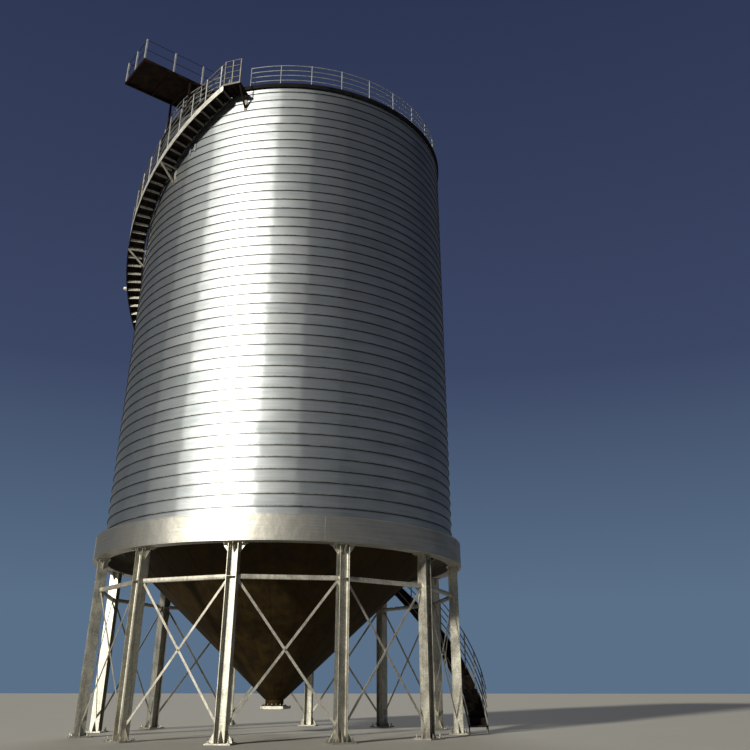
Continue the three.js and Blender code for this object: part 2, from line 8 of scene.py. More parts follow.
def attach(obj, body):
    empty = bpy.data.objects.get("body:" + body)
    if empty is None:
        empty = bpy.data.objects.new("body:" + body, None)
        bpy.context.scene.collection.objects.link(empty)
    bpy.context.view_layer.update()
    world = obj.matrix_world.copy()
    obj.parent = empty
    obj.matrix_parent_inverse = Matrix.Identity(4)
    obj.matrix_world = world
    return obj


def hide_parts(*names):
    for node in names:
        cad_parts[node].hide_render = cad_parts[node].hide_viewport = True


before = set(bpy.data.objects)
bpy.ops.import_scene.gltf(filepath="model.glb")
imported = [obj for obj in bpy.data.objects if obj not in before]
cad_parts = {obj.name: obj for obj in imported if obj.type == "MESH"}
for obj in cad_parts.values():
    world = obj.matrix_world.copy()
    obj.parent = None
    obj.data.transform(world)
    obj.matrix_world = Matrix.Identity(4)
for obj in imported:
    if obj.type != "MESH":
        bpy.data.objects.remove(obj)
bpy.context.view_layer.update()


# Legs
# Twelve rolled H-sections with base plates, cap plates and flared gussets welded on.
# Hot-dip galvanised after welding; the zinc has weathered to a dull grey-green with dirt runs.

LEGS, LEG_PITCH = 12, 30.0
LEG_RADIUS = 6.05
BASE_TOP = 0.04
CAP_FOOT, RING_UNDERSIDE = 5.0747, 5.0997
LEG_FOOT, LEG_HEAD = 0.038, 5.077

# These stand a flat outline up, with its thickness away from the axis or across a radius.
FACING_OUT = Matrix(((1, 0, 0, 0), (0, 0, -1, 0), (0, 1, 0, 0), (0, 0, 0, 1)))
EDGE_ON = Matrix(((0, 0, 1, 0), (-1, 0, 0, 0), (0, 1, 0, 0), (0, 0, 0, 1)))


def spot(angle, radius, height):
    """A point at an angle round the silo, counted in degrees from the -Y side towards +X."""
    a = math.radians(angle)
    return Vector((radius * math.sin(a), -radius * math.cos(a), height))


def oblong(x0, x1, y0, y1):
    return [(x0, y0), (x1, y0), (x1, y1), (x0, y1)]


def skin(bm, rings, ends=True):
    """Faces from each ring of points to the next one, and over the two ends."""
    for here, there in zip(rings, rings[1:]):
        for i in range(len(here)):
            j = (i + 1) % len(here)
            bm.faces.new((here[i], here[j], there[j], there[i]))
    if ends:
        bm.faces.new(rings[0][::-1])
        bm.faces.new(rings[-1])


def plate(bm, outline, near, far, place=Matrix()):
    """A plate or rolled bar: a flat outline carried from near to far, then put in place."""
    skin(bm, [[bm.verts.new(place @ Vector((x, y, t))) for x, y in outline] for t in (near, far)])


def soften(bm, width):
    """Takes the arris off every square edge."""
    bmesh.ops.recalc_face_normals(bm, faces=bm.faces)
    square = [e for e in bm.edges if len(e.link_faces) == 2 and e.calc_face_angle(0) > 0.7]
    bmesh.ops.bevel(bm, geom=square, offset=width, segments=1, affect="EDGES")


def plug(node, sockets):
    """Fills a node's sockets, or links them to a socket or to a node's first output in use. A
    colour is given by its hex code."""
    for key, value in sockets.items():
        if isinstance(value, str):
            value = linear(value)
        if isinstance(value, bpy.types.Node):
            value = next(output for output in value.outputs if output.enabled)
        if isinstance(value, bpy.types.NodeSocket):
            node.id_data.links.new(value, node.inputs[key])
        else:
            node.inputs[key].default_value = value


def add(tree, kind, sockets=None, **settings):
    """Adds one node with its settings, and fills or links its sockets."""
    node = tree.nodes.new(kind)
    for key, value in settings.items():
        setattr(node, key, value)
    plug(node, sockets or {})
    return node


def start_tree(name, **sizes):
    """An empty geometry tree with its named inputs."""
    tree = bpy.data.node_groups.new(name, "GeometryNodeTree")
    tree.interface.new_socket("Geometry", in_out="OUTPUT", socket_type="NodeSocketGeometry")
    for label, kind in {"Geometry": "Geometry", **sizes, "Finish": "Material"}.items():
        label = label.replace("_", " ")
        tree.interface.new_socket(label, in_out="INPUT", socket_type="NodeSocket" + kind)
    return tree, add(tree, "NodeGroupInput").outputs


def end_tree(tree, made, given):
    """Turns what the tree made into real metal and gives it its finish."""
    real = add(tree, "GeometryNodeRealizeInstances", {0: made})
    coated = add(tree, "GeometryNodeSetMaterial", {0: real, "Material": given["Finish"]})
    add(tree, "NodeGroupOutput", {0: coated})
    return tree


def round_the_axis():
    """Repeats a part round the silo's axis, with a turn and a rise from each one to the next."""
    tree, given = start_tree(
        "round the axis", Count="Int", First_angle="Float", Turn="Float", Rise="Float"
    )
    number = add(tree, "GeometryNodeInputIndex")
    height = add(tree, "ShaderNodeMath", {0: number, 1: given["Rise"]}, operation="MULTIPLY")
    angle = add(
        tree, "ShaderNodeMath", {0: number, 1: given["Turn"], 2: given["First angle"]},
        operation="MULTIPLY_ADD",
    )
    lift = add(tree, "ShaderNodeCombineXYZ", {2: height})
    turn = add(tree, "ShaderNodeCombineXYZ", {2: angle})
    turn = add(tree, "FunctionNodeEulerToRotation", {0: turn})
    places = add(tree, "GeometryNodePoints", {"Count": given["Count"], "Position": lift})
    copies = add(
        tree, "GeometryNodeInstanceOnPoints",
        {"Points": places, "Instance": given["Geometry"], "Rotation": turn},
    )
    return end_tree(tree, copies, given)


def made_of(name, bm, finish):
    """Turns drawn faces into one object of the scene."""
    bmesh.ops.recalc_face_normals(bm, faces=bm.faces)
    mesh = bpy.data.meshes.new(name)
    bm.to_mesh(mesh)
    bm.free()
    mesh.materials.append(finish)
    piece = bpy.data.objects.new(name, mesh)
    bpy.context.scene.collection.objects.link(piece)
    return piece


def grown(piece, tree, **sizes):
    """Runs a tree on a piece and keeps what it makes as the piece's own plain mesh."""
    run = piece.modifiers.new("tree", "NODES")
    run.node_group = tree
    sizes["Finish"] = piece.data.materials[0]
    for item in tree.interface.items_tree:
        if item.in_out == "INPUT" and item.name.replace(" ", "_") in sizes:
            run[item.identifier] = sizes[item.name.replace(" ", "_")]
    graph = bpy.context.evaluated_depsgraph_get()
    mesh = bpy.data.meshes.new_from_object(
        piece.evaluated_get(graph), preserve_all_data_layers=True, depsgraph=graph
    )
    piece.modifiers.clear()
    piece.data = mesh
    return piece


repeat_round = round_the_axis()


def set_round(name, bm, finish, count, first, turn, rise=0.0):
    """One part repeated round the axis. Its first angle and the turn are in degrees."""
    return grown(
        made_of(name, bm, finish), repeat_round, Count=count, First_angle=math.radians(first),
        Turn=math.radians(turn), Rise=rise,
    )


def fitted(piece, slot, *nodes, crease=35):
    """Smooths a finished piece up to its creases and fixes it to the frame."""
    piece.data.shade_smooth()
    piece.data.set_sharp_from_angle(angle=math.radians(crease))
    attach(piece, "root")
    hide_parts(*nodes)


def numbered(name, count):
    """The frame's node names for like pieces, counted from one."""
    return [f"{name}_{i + 1}" for i in range(count)]


def linear(code):
    """An sRGB hex colour as the linear colour that a shader takes."""
    shares = [int(code[i:i + 2], 16) / 255 for i in (0, 2, 4)]
    return [c / 12.92 if c <= 0.04045 else ((c + 0.055) / 1.055) ** 2.4 for c in shares] + [1.0]


def new_finish(name):
    """An empty material and its nodes."""
    finish = bpy.data.materials.new(name)
    finish.use_nodes = True
    return finish, finish.node_tree


def surface(finish, colour, rough, relief, **levels):
    """Wires a finish's shader, and sets those of its levels that are the same all over."""
    levels = {label.replace("_", " "): level for label, level in levels.items()}
    shader = finish.node_tree.nodes["Principled BSDF"]
    plug(shader, {"Base Color": colour, "Roughness": rough, "Normal": relief, **levels})
    return finish


def weathered_zinc(name, bright, dull, stain, metallic, gloss, stained=0.5, grime_and_shade_below=0.0):
    """Hot-dip galvanised steel, weathered. Crystals 30 mm across show as a faint patchwork under
    clouds of dull grey, with dirt that rain has drawn down in runs some 80 mm wide. Faces that
    look down, which no rain washes, are darkened with the stain colour: partly dirt, partly painted
    shade."""
    finish, tree = new_finish(name)
    place = add(tree, "ShaderNodeTexCoord").outputs["Object"]
    crystals = add(tree, "ShaderNodeTexVoronoi", {"Vector": place, "Scale": 33.0})
    clouds = add(tree, "ShaderNodeTexNoise", {"Vector": place, "Scale": 3.0, "Detail": 7.0})
    tone = add(
        tree, "ShaderNodeMix", {0: 0.35, 6: clouds, 7: crystals.outputs["Color"]}, data_type="RGBA"
    )
    tone = add(tree, "ShaderNodeMapRange", {0: tone, 1: 0.36, 2: 0.62})
    metal = add(tree, "ShaderNodeMix", {0: tone, 6: dull, 7: bright}, data_type="RGBA")
    fall = add(tree, "ShaderNodeMapping", {"Vector": place, "Scale": (12.0, 12.0, 0.8)})
    runs = add(tree, "ShaderNodeTexNoise", {"Vector": fall, "Scale": 1.0, "Detail": 5.0})
    runs = add(tree, "ShaderNodeMapRange", {0: runs, 1: 0.52, 2: 0.72, 3: 0.0, 4: stained})
    facing = add(tree, "ShaderNodeTexCoord").outputs["Normal"]
    facing = add(tree, "ShaderNodeSeparateXYZ", {0: facing}).outputs["Z"]
    # Painted shade: faces that look down are darkened, partly for dirt and partly for the shade
    # under them.
    under = add(tree, "ShaderNodeMapRange", {0: facing, 1: -0.5, 2: -0.8, 3: 0.0, 4: grime_and_shade_below})
    dirt_and_shade = add(tree, "ShaderNodeMath", {0: runs, 1: under}, operation="MAXIMUM")
    colour = add(tree, "ShaderNodeMix", {0: dirt_and_shade, 6: metal, 7: stain}, data_type="RGBA")
    rough = add(tree, "ShaderNodeMapRange", {0: clouds, 1: 0.3, 2: 0.7, 3: gloss[0], 4: gloss[1]})
    grain = add(tree, "ShaderNodeBump", {"Height": crystals, "Strength": 0.35, "Distance": 0.002})
    return surface(finish, colour, rough, grain, Metallic=metallic)


def h_section(width, depth, flange, web, root):
    """Outline of a rolled H-section with its root fillets. The flanges stand at the two sides."""
    inner = width / 2 - flange
    bend = [
        (inner - root + root * math.cos(t), web / 2 + root - root * math.sin(t))
        for t in (0, math.pi / 6, math.pi / 3, math.pi / 2)
    ]
    quarter = [(width / 2, depth / 2), (inner, depth / 2)] + bend
    half = quarter + [(-x, y) for x, y in reversed(quarter)]
    return half + [(-x, -y) for x, y in half]


def gussets(bm, foot, up, reach, height, edge):
    """Flared plates beside both flanges and on the web, at a leg's foot or head."""
    flange, half_web = 0.1515, 0.008
    tip, far = foot + up * edge, foot + up * height
    for side in (1, -1):
        flare = [(flange, foot), (flange + reach, foot), (flange + reach, tip), (flange, far)]
        flare = [(side * x, z) for x, z in flare]
        plate(bm, flare, LEG_RADIUS - half_web, LEG_RADIUS + half_web, FACING_OUT)
    front = LEG_RADIUS + reach + 0.03
    face = [
        (LEG_RADIUS, foot), (front, foot), (front, tip), (LEG_RADIUS + half_web, far),
        (LEG_RADIUS, far),
    ]
    plate(bm, face, -half_web, half_web, EDGE_ON)


leg_zinc = weathered_zinc(
    "leg_zinc", bright="cfccc0", dull="a6a398", stain="4e493c", metallic=0.85, gloss=(0.38, 0.5)
)

bm = bmesh.new()
section = h_section(width=0.305, depth=0.31, flange=0.02, web=0.016, root=0.024)
plate(bm, [(x, y - LEG_RADIUS) for x, y in section], LEG_FOOT, LEG_HEAD)
for half_width, half_depth, low, high in (
    (0.35, 0.31, 0.0, BASE_TOP),
    (0.35, 0.21, CAP_FOOT, RING_UNDERSIDE),
    (0.135, 0.15, 4.152, 4.168),
):
    outline = oblong(-half_width, half_width, -LEG_RADIUS - half_depth, half_depth - LEG_RADIUS)
    plate(bm, outline, low, high)
gussets(bm, LEG_FOOT, up=1, reach=0.17, height=0.3, edge=0.04)
gussets(bm, LEG_HEAD - 0.0003, up=-1, reach=0.19, height=0.29, edge=0.05)
soften(bm, 0.003)
legs = set_round("legs", bm, leg_zinc, LEGS, 0.0, LEG_PITCH)
fitted(legs, "leg_steel", *numbered("leg", LEGS))


# Anchor bolts and head bolts
# M30 holding-down bolts cast into the foundation, four to a base plate, each with a square
# washer plate and a hexagon nut; M24 bolts hold each cap plate to the ring beam. Zinc plated.

def regular(radius, sides=12):
    """Outline of a bar with equal sides, its first corner on the x axis."""
    step = 2 * math.pi / sides
    return [(radius * math.cos(k * step), radius * math.sin(k * step)) for k in range(sides)]


def bolt(bm, place, across, stud):
    """A hexagon nut on its washer, with the end of its bolt standing out."""
    plate(bm, regular(across * 0.95), 0.0, across * 0.12, place)
    plate(bm, regular(across / math.sqrt(3), 6), across * 0.12, across * 0.95, place)
    plate(bm, regular(across * 0.32, 8), across * 0.95, across * 0.95 + stud, place)


bolt_zinc = weathered_zinc(
    "bolt_zinc", bright="c3c2ba", dull="8f8c84", stain="6b4c33", metallic=0.8, gloss=(0.35, 0.5)
)
WASHER = 0.012

bm = bmesh.new()
for x in (-0.27, 0.27):
    for y in (-0.22, 0.22):
        foot = Matrix.Translation((x, y - LEG_RADIUS, BASE_TOP))
        plate(bm, oblong(-0.045, 0.045, -0.045, 0.045), 0.0, WASHER, foot)
        bolt(bm, foot @ Matrix.Translation((0, 0, WASHER)), 0.046, 0.05)
        head = Matrix.Translation((x, y * 0.65 - LEG_RADIUS, CAP_FOOT))
        bolt(bm, head @ Matrix.Rotation(math.pi, 4, "X"), 0.036, 0.015)
fitted(set_round("leg_bolts", bm, bolt_zinc, LEGS, 0.0, LEG_PITCH), "leg_steel")


# Bay bracing
# Between each two legs a rectangular hollow tie and two crossed flat bars, cut to the legs'
# flanges and welded there, with one bolt where the bars cross. Hot-dip galvanised.

HALF_BAY = math.radians(LEG_PITCH / 2)
BAY_CHORD = LEG_RADIUS * math.cos(HALF_BAY)
BAY_REACH = LEG_RADIUS * math.sin(HALF_BAY)
FLANGE_FACE = 0.1528
BAR_FOOT, CROSSING = 0.262, 2.275


def rounded(x0, x1, y0, y1, bend):
    """Outline of a rolled hollow section."""
    right, left, top, bottom = x1 - bend, x0 + bend, y1 - bend, y0 + bend
    corners = enumerate(((right, top), (left, top), (left, bottom), (right, bottom)))
    bends = [(x, y, (turn + k / 2) * math.pi / 2) for turn, (x, y) in corners for k in range(3)]
    return [(x + bend * math.cos(t), y + bend * math.sin(t)) for x, y, t in bends]


def flat_bar(bm, foot, head, width, near, far):
    """A flat bar in the plane of the bay, from foot to head, between two distances outward."""
    run = (head - foot).normalized()
    side = Vector((-run.y, run.x)) * width / 2
    outline = [foot - side, head - side, head + side, foot + side]
    plate(bm, [tuple(p) for p in outline], near, far, FACING_OUT)


def saw_off(bm, point, beyond):
    """Cuts away all that lies beyond a plane and closes the cut ends."""
    cut = bmesh.ops.bisect_plane(
        bm, geom=bm.verts[:] + bm.edges[:] + bm.faces[:], plane_co=point, plane_no=beyond,
        clear_outer=True,
    )
    ends = [e for e in cut["geom_cut"] if isinstance(e, bmesh.types.BMEdge)]
    bmesh.ops.holes_fill(bm, edges=ends)


brace_zinc = weathered_zinc(
    "brace_zinc", bright="cfcbc0", dull="a8a49a", stain="7d7666", metallic=0.65, gloss=(0.38, 0.5)
)

bm = bmesh.new()
tie = rounded(BAY_CHORD - 0.04, BAY_CHORD + 0.04, 4.095, 4.225, bend=0.012)
plate(bm, tie, -BAY_REACH, BAY_REACH, EDGE_ON)
for side in (1, -1):
    near, far = sorted((BAY_CHORD + side * 0.001, BAY_CHORD + side * 0.015))
    foot = Vector((-side * BAY_REACH, BAR_FOOT))
    head = Vector((side * BAY_REACH, 2 * CROSSING - BAR_FOOT))
    flat_bar(bm, foot, head, 0.07, near, far)
for side in (1, -1):
    beyond = Vector((side * math.cos(HALF_BAY), math.sin(HALF_BAY), 0))
    saw_off(bm, Vector((side * BAY_REACH, -BAY_CHORD, 0)) - beyond * FLANGE_FACE, beyond)
soften(bm, 0.002)
bracing = set_round("bay_bracing", bm, brace_zinc, LEGS, LEG_PITCH / 2, LEG_PITCH)
fitted(bracing, "brace_steel", *numbered("bay_bracing", LEGS))

bm = bmesh.new()
bolt(bm, FACING_OUT @ Matrix.Translation((0.0, CROSSING, BAY_CHORD + 0.0145)), 0.032, 0.012)
fitted(set_round("bay_bolts", bm, bolt_zinc, LEGS, LEG_PITCH / 2, LEG_PITCH), "brace_steel")


# Ring beam
# A deep channel rolled to the silo's curve from 6 m plates, its web outside and its flanges
# inward. The butt joints are covered by welded straps. Galvanised, smooth and pale.

def sweep(bm, outline, angles, lift=lambda angle: 0.0):
    """Carries an outline of radius and height round the axis, raised or lowered by lift."""
    whole = angles[-1] - angles[0] > 359.9
    stops = angles[:-1] if whole else angles
    rings = [[bm.verts.new(spot(a, r, z + lift(a))) for r, z in outline] for a in stops]
    skin(bm, rings + rings[:1] if whole else rings, ends=not whole)


def angles_between(first, last, step):
    count = max(1, round((last - first) / step))
    return [first + (last - first) * i / count for i in range(count + 1)]


def ring_sheet_zinc():
    """Galvanised plate, rolled smooth: long faint streaks lie along the ring, some 60 mm high,
    under broad dull clouds and a brown film of dust; no crystals show from the ground."""
    finish, tree = new_finish("ring_sheet_zinc")
    place = add(tree, "ShaderNodeTexCoord").outputs["Object"]
    drawn = add(tree, "ShaderNodeMapping", {"Vector": place, "Scale": (0.5, 0.5, 16.0)})
    streaks = add(tree, "ShaderNodeTexNoise", {"Vector": drawn, "Scale": 1.0, "Detail": 4.0})
    clouds = add(tree, "ShaderNodeTexNoise", {"Vector": place, "Scale": 0.9, "Detail": 5.0})
    tone = add(tree, "ShaderNodeMix", {0: 0.5, 6: streaks, 7: clouds}, data_type="RGBA")
    tone = add(tree, "ShaderNodeMapRange", {0: tone, 1: 0.38, 2: 0.62})
    colour = add(tree, "ShaderNodeMix", {0: tone, 6: "b1aea6", 7: "d2d0ca"}, data_type="RGBA")
    rough = add(tree, "ShaderNodeMapRange", {0: tone, 1: 0.0, 2: 1.0, 3: 0.49, 4: 0.41})
    waves = add(tree, "ShaderNodeBump", {"Height": clouds, "Strength": 1.0, "Distance": 0.03})
    return surface(finish, colour, rough, waves, Metallic=1.0)


FULL_TURN = angles_between(0.0, 360.0, 2.0)

bm = bmesh.new()
channel = [
    (5.92, 5.10), (6.35, 5.10), (6.35, 5.124), (6.344, 5.13), (6.344, 5.82), (6.35, 5.826),
    (6.35, 5.85), (5.92, 5.85), (5.92, 5.82), (6.32, 5.82), (6.32, 5.13), (5.92, 5.13),
]
sweep(bm, channel, FULL_TURN)
strap = [(6.342, 5.135), (6.35, 5.14), (6.35, 5.81), (6.342, 5.815)]
for k in range(7):
    joint = -29.7 + 54.4 * k
    sweep(bm, strap, [joint - 0.8, joint, joint + 0.8])
fitted(made_of("ring_beam", bm, ring_sheet_zinc()), "ring_sheet", *numbered("ring_beam", 4))


# Bin wall
# One galvanised strip, 365 mm between its seams, wound up in a rising spiral of 43 turns.
# Rolled along its length, so the sun draws one tall bright band down the whole wall.

STRIP, TURNS = 0.365, 43
SEAM_AT_FRONT = 6.11
WALL_RADIUS, WALL_INSIDE = 6.05, 5.99
WALL_FOOT, WALL_TOP = 5.8503, 21.63


def coiled_strip_zinc():
    """Galvanised coil, bright and rolled: streaks of 20 mm and soft tone changes follow each turn
    of the strip, and each turn bellies out 1.5 mm between its seams. Dust lies just above each
    seam, and a painted shadow greys the sheet just below each seam.
    Thirty upright stiffeners inside leave the sheet a little flatter between them."""
    finish, tree = new_finish("coiled_strip_zinc")
    coil = add(tree, "ShaderNodeUVMap", uv_map="coil")
    split = add(tree, "ShaderNodeSeparateXYZ", {0: coil})
    turn, height = split.outputs["X"], split.outputs["Y"]
    number = add(tree, "ShaderNodeMath", {0: height}, operation="FLOOR")
    across = add(tree, "ShaderNodeMath", {0: height}, operation="FRACT")
    wound = add(tree, "ShaderNodeMath", {0: number, 1: turn}, operation="ADD")
    metres = add(tree, "ShaderNodeMath", {0: wound, 1: 38.0}, operation="MULTIPLY")
    along = add(tree, "ShaderNodeCombineXYZ", {0: metres, 1: across, 2: number})

    drawn = add(tree, "ShaderNodeMapping", {"Vector": along, "Scale": (0.25, 18.0, 3.7)})
    streaks = add(tree, "ShaderNodeTexNoise", {"Vector": drawn, "Scale": 1.0, "Detail": 3.0})
    patch = add(tree, "ShaderNodeMapping", {"Vector": along, "Scale": (0.55, 0.9, 5.3)})
    patches = add(tree, "ShaderNodeTexNoise", {"Vector": patch, "Scale": 1.0, "Detail": 3.0})
    tone = add(tree, "ShaderNodeMix", {0: 0.6, 6: streaks, 7: patches}, data_type="RGBA")
    tone = add(tree, "ShaderNodeMapRange", {0: tone, 1: 0.36, 2: 0.64})
    metal = add(tree, "ShaderNodeMix", {0: tone, 6: "a3aab0", 7: "cfd4d7"}, data_type="RGBA")
    # Painted shadow: the sheet just below each seam is greyed for the rib's shade; just above each
    # seam it is dust.
    seam_shadow = add(tree, "ShaderNodeMapRange", {0: across, 1: 0.82, 2: 0.95, 3: 0.0, 4: 0.75})
    above_seam = add(tree, "ShaderNodeMapRange", {0: across, 1: 0.10, 2: 0.04, 3: 0.0, 4: 0.4})
    dirt_and_shade = add(tree, "ShaderNodeMath", {0: seam_shadow, 1: above_seam}, operation="MAXIMUM")
    colour = add(tree, "ShaderNodeMix", {0: dirt_and_shade, 6: metal, 7: "585a5c"}, data_type="RGBA")
    rough = add(tree, "ShaderNodeMapRange", {0: tone, 1: 0.0, 2: 1.0, 3: 0.50, 4: 0.43})

    # The sheet's height in metres: belly, a slow sway along the strip, and soft patches.
    middle = add(tree, "ShaderNodeMath", {0: across, 1: 0.5}, operation="SUBTRACT")
    belly = add(tree, "ShaderNodeMath", {0: middle, 1: middle}, operation="MULTIPLY")
    belly = add(tree, "ShaderNodeMath", {0: belly, 1: -0.006}, operation="MULTIPLY")
    sway = add(tree, "ShaderNodeMapping", {"Vector": along, "Scale": (0.3, 0.0, 0.29)})
    sway = add(tree, "ShaderNodeTexNoise", {"Vector": sway, "Scale": 1.0, "Detail": 1.0})
    relief = add(tree, "ShaderNodeMath", {0: sway, 1: 0.09, 2: belly}, operation="MULTIPLY_ADD")
    relief = add(
        tree, "ShaderNodeMath", {0: patches, 1: 0.011, 2: relief}, operation="MULTIPLY_ADD"
    )
    # Thirty flats to a turn, with soft edges that wander a little from one turn to the next.
    wander = add(tree, "ShaderNodeTexWhiteNoise", {1: number}, noise_dimensions="1D")
    wander = add(tree, "ShaderNodeMath", {0: wander, 1: 0.12, 2: -0.435}, operation="MULTIPLY_ADD")
    flat = add(tree, "ShaderNodeMath", {0: turn, 1: 30.0, 2: wander}, operation="MULTIPLY_ADD")
    flat = add(tree, "ShaderNodeMath", {0: flat}, operation="FRACT")
    flat = add(tree, "ShaderNodeMath", {0: flat, 1: 0.5}, operation="SUBTRACT")
    flat = add(tree, "ShaderNodeMath", {0: flat}, operation="ABSOLUTE")
    other = add(tree, "ShaderNodeMath", {0: 1.0, 1: flat}, operation="SUBTRACT")
    flat = add(tree, "ShaderNodeMath", {0: flat, 1: 2.0}, operation="POWER")
    other = add(tree, "ShaderNodeMath", {0: other, 1: 2.0}, operation="POWER")
    flat = add(tree, "ShaderNodeMath", {0: flat, 1: other, 2: 0.24}, operation="SMOOTH_MIN")
    relief = add(tree, "ShaderNodeMath", {0: flat, 1: 0.040, 2: relief}, operation="MULTIPLY_ADD")
    waves = add(tree, "ShaderNodeBump", {"Height": relief, "Strength": 1.0, "Distance": 1.0})
    rolled = add(tree, "ShaderNodeTangent", direction_type="UV_MAP", uv_map="coil")
    return surface(
        finish, colour, rough, waves, Tangent=rolled, Metallic=1.0, Anisotropic=0.15,
        Anisotropic_Rotation=0.25,
    )


bm = bmesh.new()
face_up = [(WALL_RADIUS, WALL_FOOT + (WALL_TOP - WALL_FOOT) * i / TURNS) for i in range(TURNS + 1)]
sweep(bm, face_up + [(WALL_INSIDE, WALL_TOP), (WALL_INSIDE, WALL_FOOT)], FULL_TURN)
layer = bm.loops.layers.uv.new("coil")
for face in bm.faces:
    middle = face.calc_center_median()
    about = math.degrees(math.atan2(middle.x, -middle.y)) % 360
    for loop in face.loops:
        p = loop.vert.co
        angle = math.degrees(math.atan2(p.x, -p.y))
        angle += 360 * round((about - angle) / 360)
        loop[layer].uv = (angle / 360, (p.z - SEAM_AT_FRONT) / STRIP - angle / 360)
wall = made_of("bin_wall", bm, coiled_strip_zinc())
fitted(wall, "galvanised_sheet", *numbered("shell_wall", 6))


# Spiral seam
# The strip's two edges are folded together on the outside as it is wound, which leaves a rib
# 29 mm proud that climbs one strip's height in each turn. Same metal; its faces that look down
# are darkened near to black, partly dirt in the fold and partly painted shade.

def spiral_sweep():
    """Carries the outline of a fold up a spiral on the wall."""
    tree, given = start_tree(
        "seam on a spiral", Radius="Float", Pitch="Float", Turns="Float", Steps="Int",
        First_angle="Float", First_height="Float",
    )
    climb = add(
        tree, "ShaderNodeMath", {0: given["Pitch"], 1: given["Turns"]}, operation="MULTIPLY"
    )
    line = add(
        tree, "GeometryNodeCurveSpiral",
        {
            "Resolution": given["Steps"], "Rotations": given["Turns"], "Height": climb,
            "Start Radius": given["Radius"], "End Radius": given["Radius"], "Reverse": True,
        },
    )
    line = add(tree, "GeometryNodeSetCurveNormal", {0: line}, mode="Z_UP")
    fold = add(tree, "GeometryNodeMeshToCurve", {0: given["Geometry"]})
    rib = add(tree, "GeometryNodeCurveToMesh", {0: line, 1: fold, "Fill Caps": True})
    lift = add(tree, "ShaderNodeCombineXYZ", {2: given["First height"]})
    turn = add(tree, "ShaderNodeCombineXYZ", {2: given["First angle"]})
    turn = add(tree, "FunctionNodeEulerToRotation", {0: turn})
    placed = add(tree, "GeometryNodeTransform", {0: rib, "Translation": lift, "Rotation": turn})
    return end_tree(tree, placed, given)


# The dark blue-grey stain covers the faces that look down almost fully: painted shade under the
# fold as well as dirt.
seam_zinc = weathered_zinc(
    "seam_zinc", bright="bcbdbc", dull="929493", stain="20242c", metallic=1.0, gloss=(0.40, 0.52),
    stained=0.3, grime_and_shade_below=0.92,
)
SEAM_FOOT, SEAM_HEAD = 5.872, 21.608

bm = bmesh.new()
fold = [
    (-0.004, -0.020), (0.020, -0.016), (0.029, -0.009), (0.029, 0.007), (0.020, 0.013),
    (-0.004, 0.020),
]
corners = [bm.verts.new((x, y, 0)) for x, y in fold]
for here, there in zip(corners, corners[1:] + corners[:1]):
    bm.edges.new((here, there))
first_turn = (SEAM_FOOT - SEAM_AT_FRONT) / STRIP
seam = grown(
    made_of("spiral_seam", bm, seam_zinc), spiral_sweep(), Radius=WALL_RADIUS, Pitch=STRIP,
    Turns=(SEAM_HEAD - SEAM_AT_FRONT) / STRIP - first_turn, Steps=160,
    First_angle=first_turn * 2 * math.pi - math.pi / 2, First_height=SEAM_FOOT,
)
fitted(seam, "galvanised_sheet")


# Hopper
# A cone of rolled steel sheets, lapped and bolted along 24 slanting seams, hung inside the
# ring beam. Unpainted, rusted dark brown and caked with grain dust.

def rusted_sheet(name, deep, warm, dust):
    """Rusted mild steel: brown blotches some 300 mm wide, a fine scale of 12 mm, and pale dust
    that has settled in patches. Nearly matt, and metal shows through hardly anywhere."""
    finish, tree = new_finish(name)
    place = add(tree, "ShaderNodeTexCoord").outputs["Object"]
    blotches = add(
        tree, "ShaderNodeTexNoise",
        {"Vector": place, "Scale": 3.3, "Detail": 8.0, "Roughness": 0.6},
    )
    scale = add(tree, "ShaderNodeTexNoise", {"Vector": place, "Scale": 80.0, "Detail": 3.0})
    settled = add(tree, "ShaderNodeTexNoise", {"Vector": place, "Scale": 1.2, "Detail": 6.0})
    tone = add(tree, "ShaderNodeMapRange", {0: blotches, 1: 0.38, 2: 0.64})
    rust = add(tree, "ShaderNodeMix", {0: tone, 6: deep, 7: warm}, data_type="RGBA")
    share = add(tree, "ShaderNodeMapRange", {0: settled, 1: 0.5, 2: 0.75, 3: 0.0, 4: 0.45})
    colour = add(tree, "ShaderNodeMix", {0: share, 6: rust, 7: dust}, data_type="RGBA")
    rough = add(tree, "ShaderNodeMapRange", {0: tone, 1: 0.0, 2: 1.0, 3: 0.6, 4: 0.82})
    pits = add(tree, "ShaderNodeBump", {"Height": scale, "Strength": 0.5, "Distance": 0.002})
    return surface(finish, colour, rough, pits, Metallic=0.25, Specular_IOR_Level=0.15)


hopper_rust = rusted_sheet("hopper_rust", deep="261c0d", warm="3c2e13", dust="4a3d1e")
SPREAD, APEX = 1.13, 0.71
CONE_SEAMS = 24
LAP = 0.006


def cone_height(radius):
    return APEX + radius / SPREAD


bm = bmesh.new()
mouth = cone_height(0.3)
cone = [
    (0.225, mouth), (0.3, mouth), (5.9325, 5.96), (5.9897, 5.96), (5.9897, 6.04), (5.9479, 6.04),
]
sweep(bm, cone, FULL_TURN)
fitted(made_of("hopper_cone_sheet", bm, hopper_rust), "hopper_sheet", "hopper_cone")

bm = bmesh.new()
slant = math.hypot(1.0, SPREAD)
out, down = LAP / slant, LAP * SPREAD / slant
lap = [
    (0.33, cone_height(0.33) + 0.002), (0.33 + out, cone_height(0.33) - down),
    (5.84 + out, cone_height(5.84) - down), (5.84, cone_height(5.84) + 0.002),
]
plate(bm, lap, -0.03, 0.03, EDGE_ON)
lap_pitch = 360 / CONE_SEAMS
laps = set_round("hopper_laps", bm, hopper_rust, CONE_SEAMS, lap_pitch / 2, lap_pitch)
fitted(laps, "hopper_sheet")


# Outlet and slide gate
# A short flanged collar under the cone, with a slide gate bolted to it: a blade that runs in
# two channels and is drawn by a bar across its end. Steel, the gate newer than the collar.

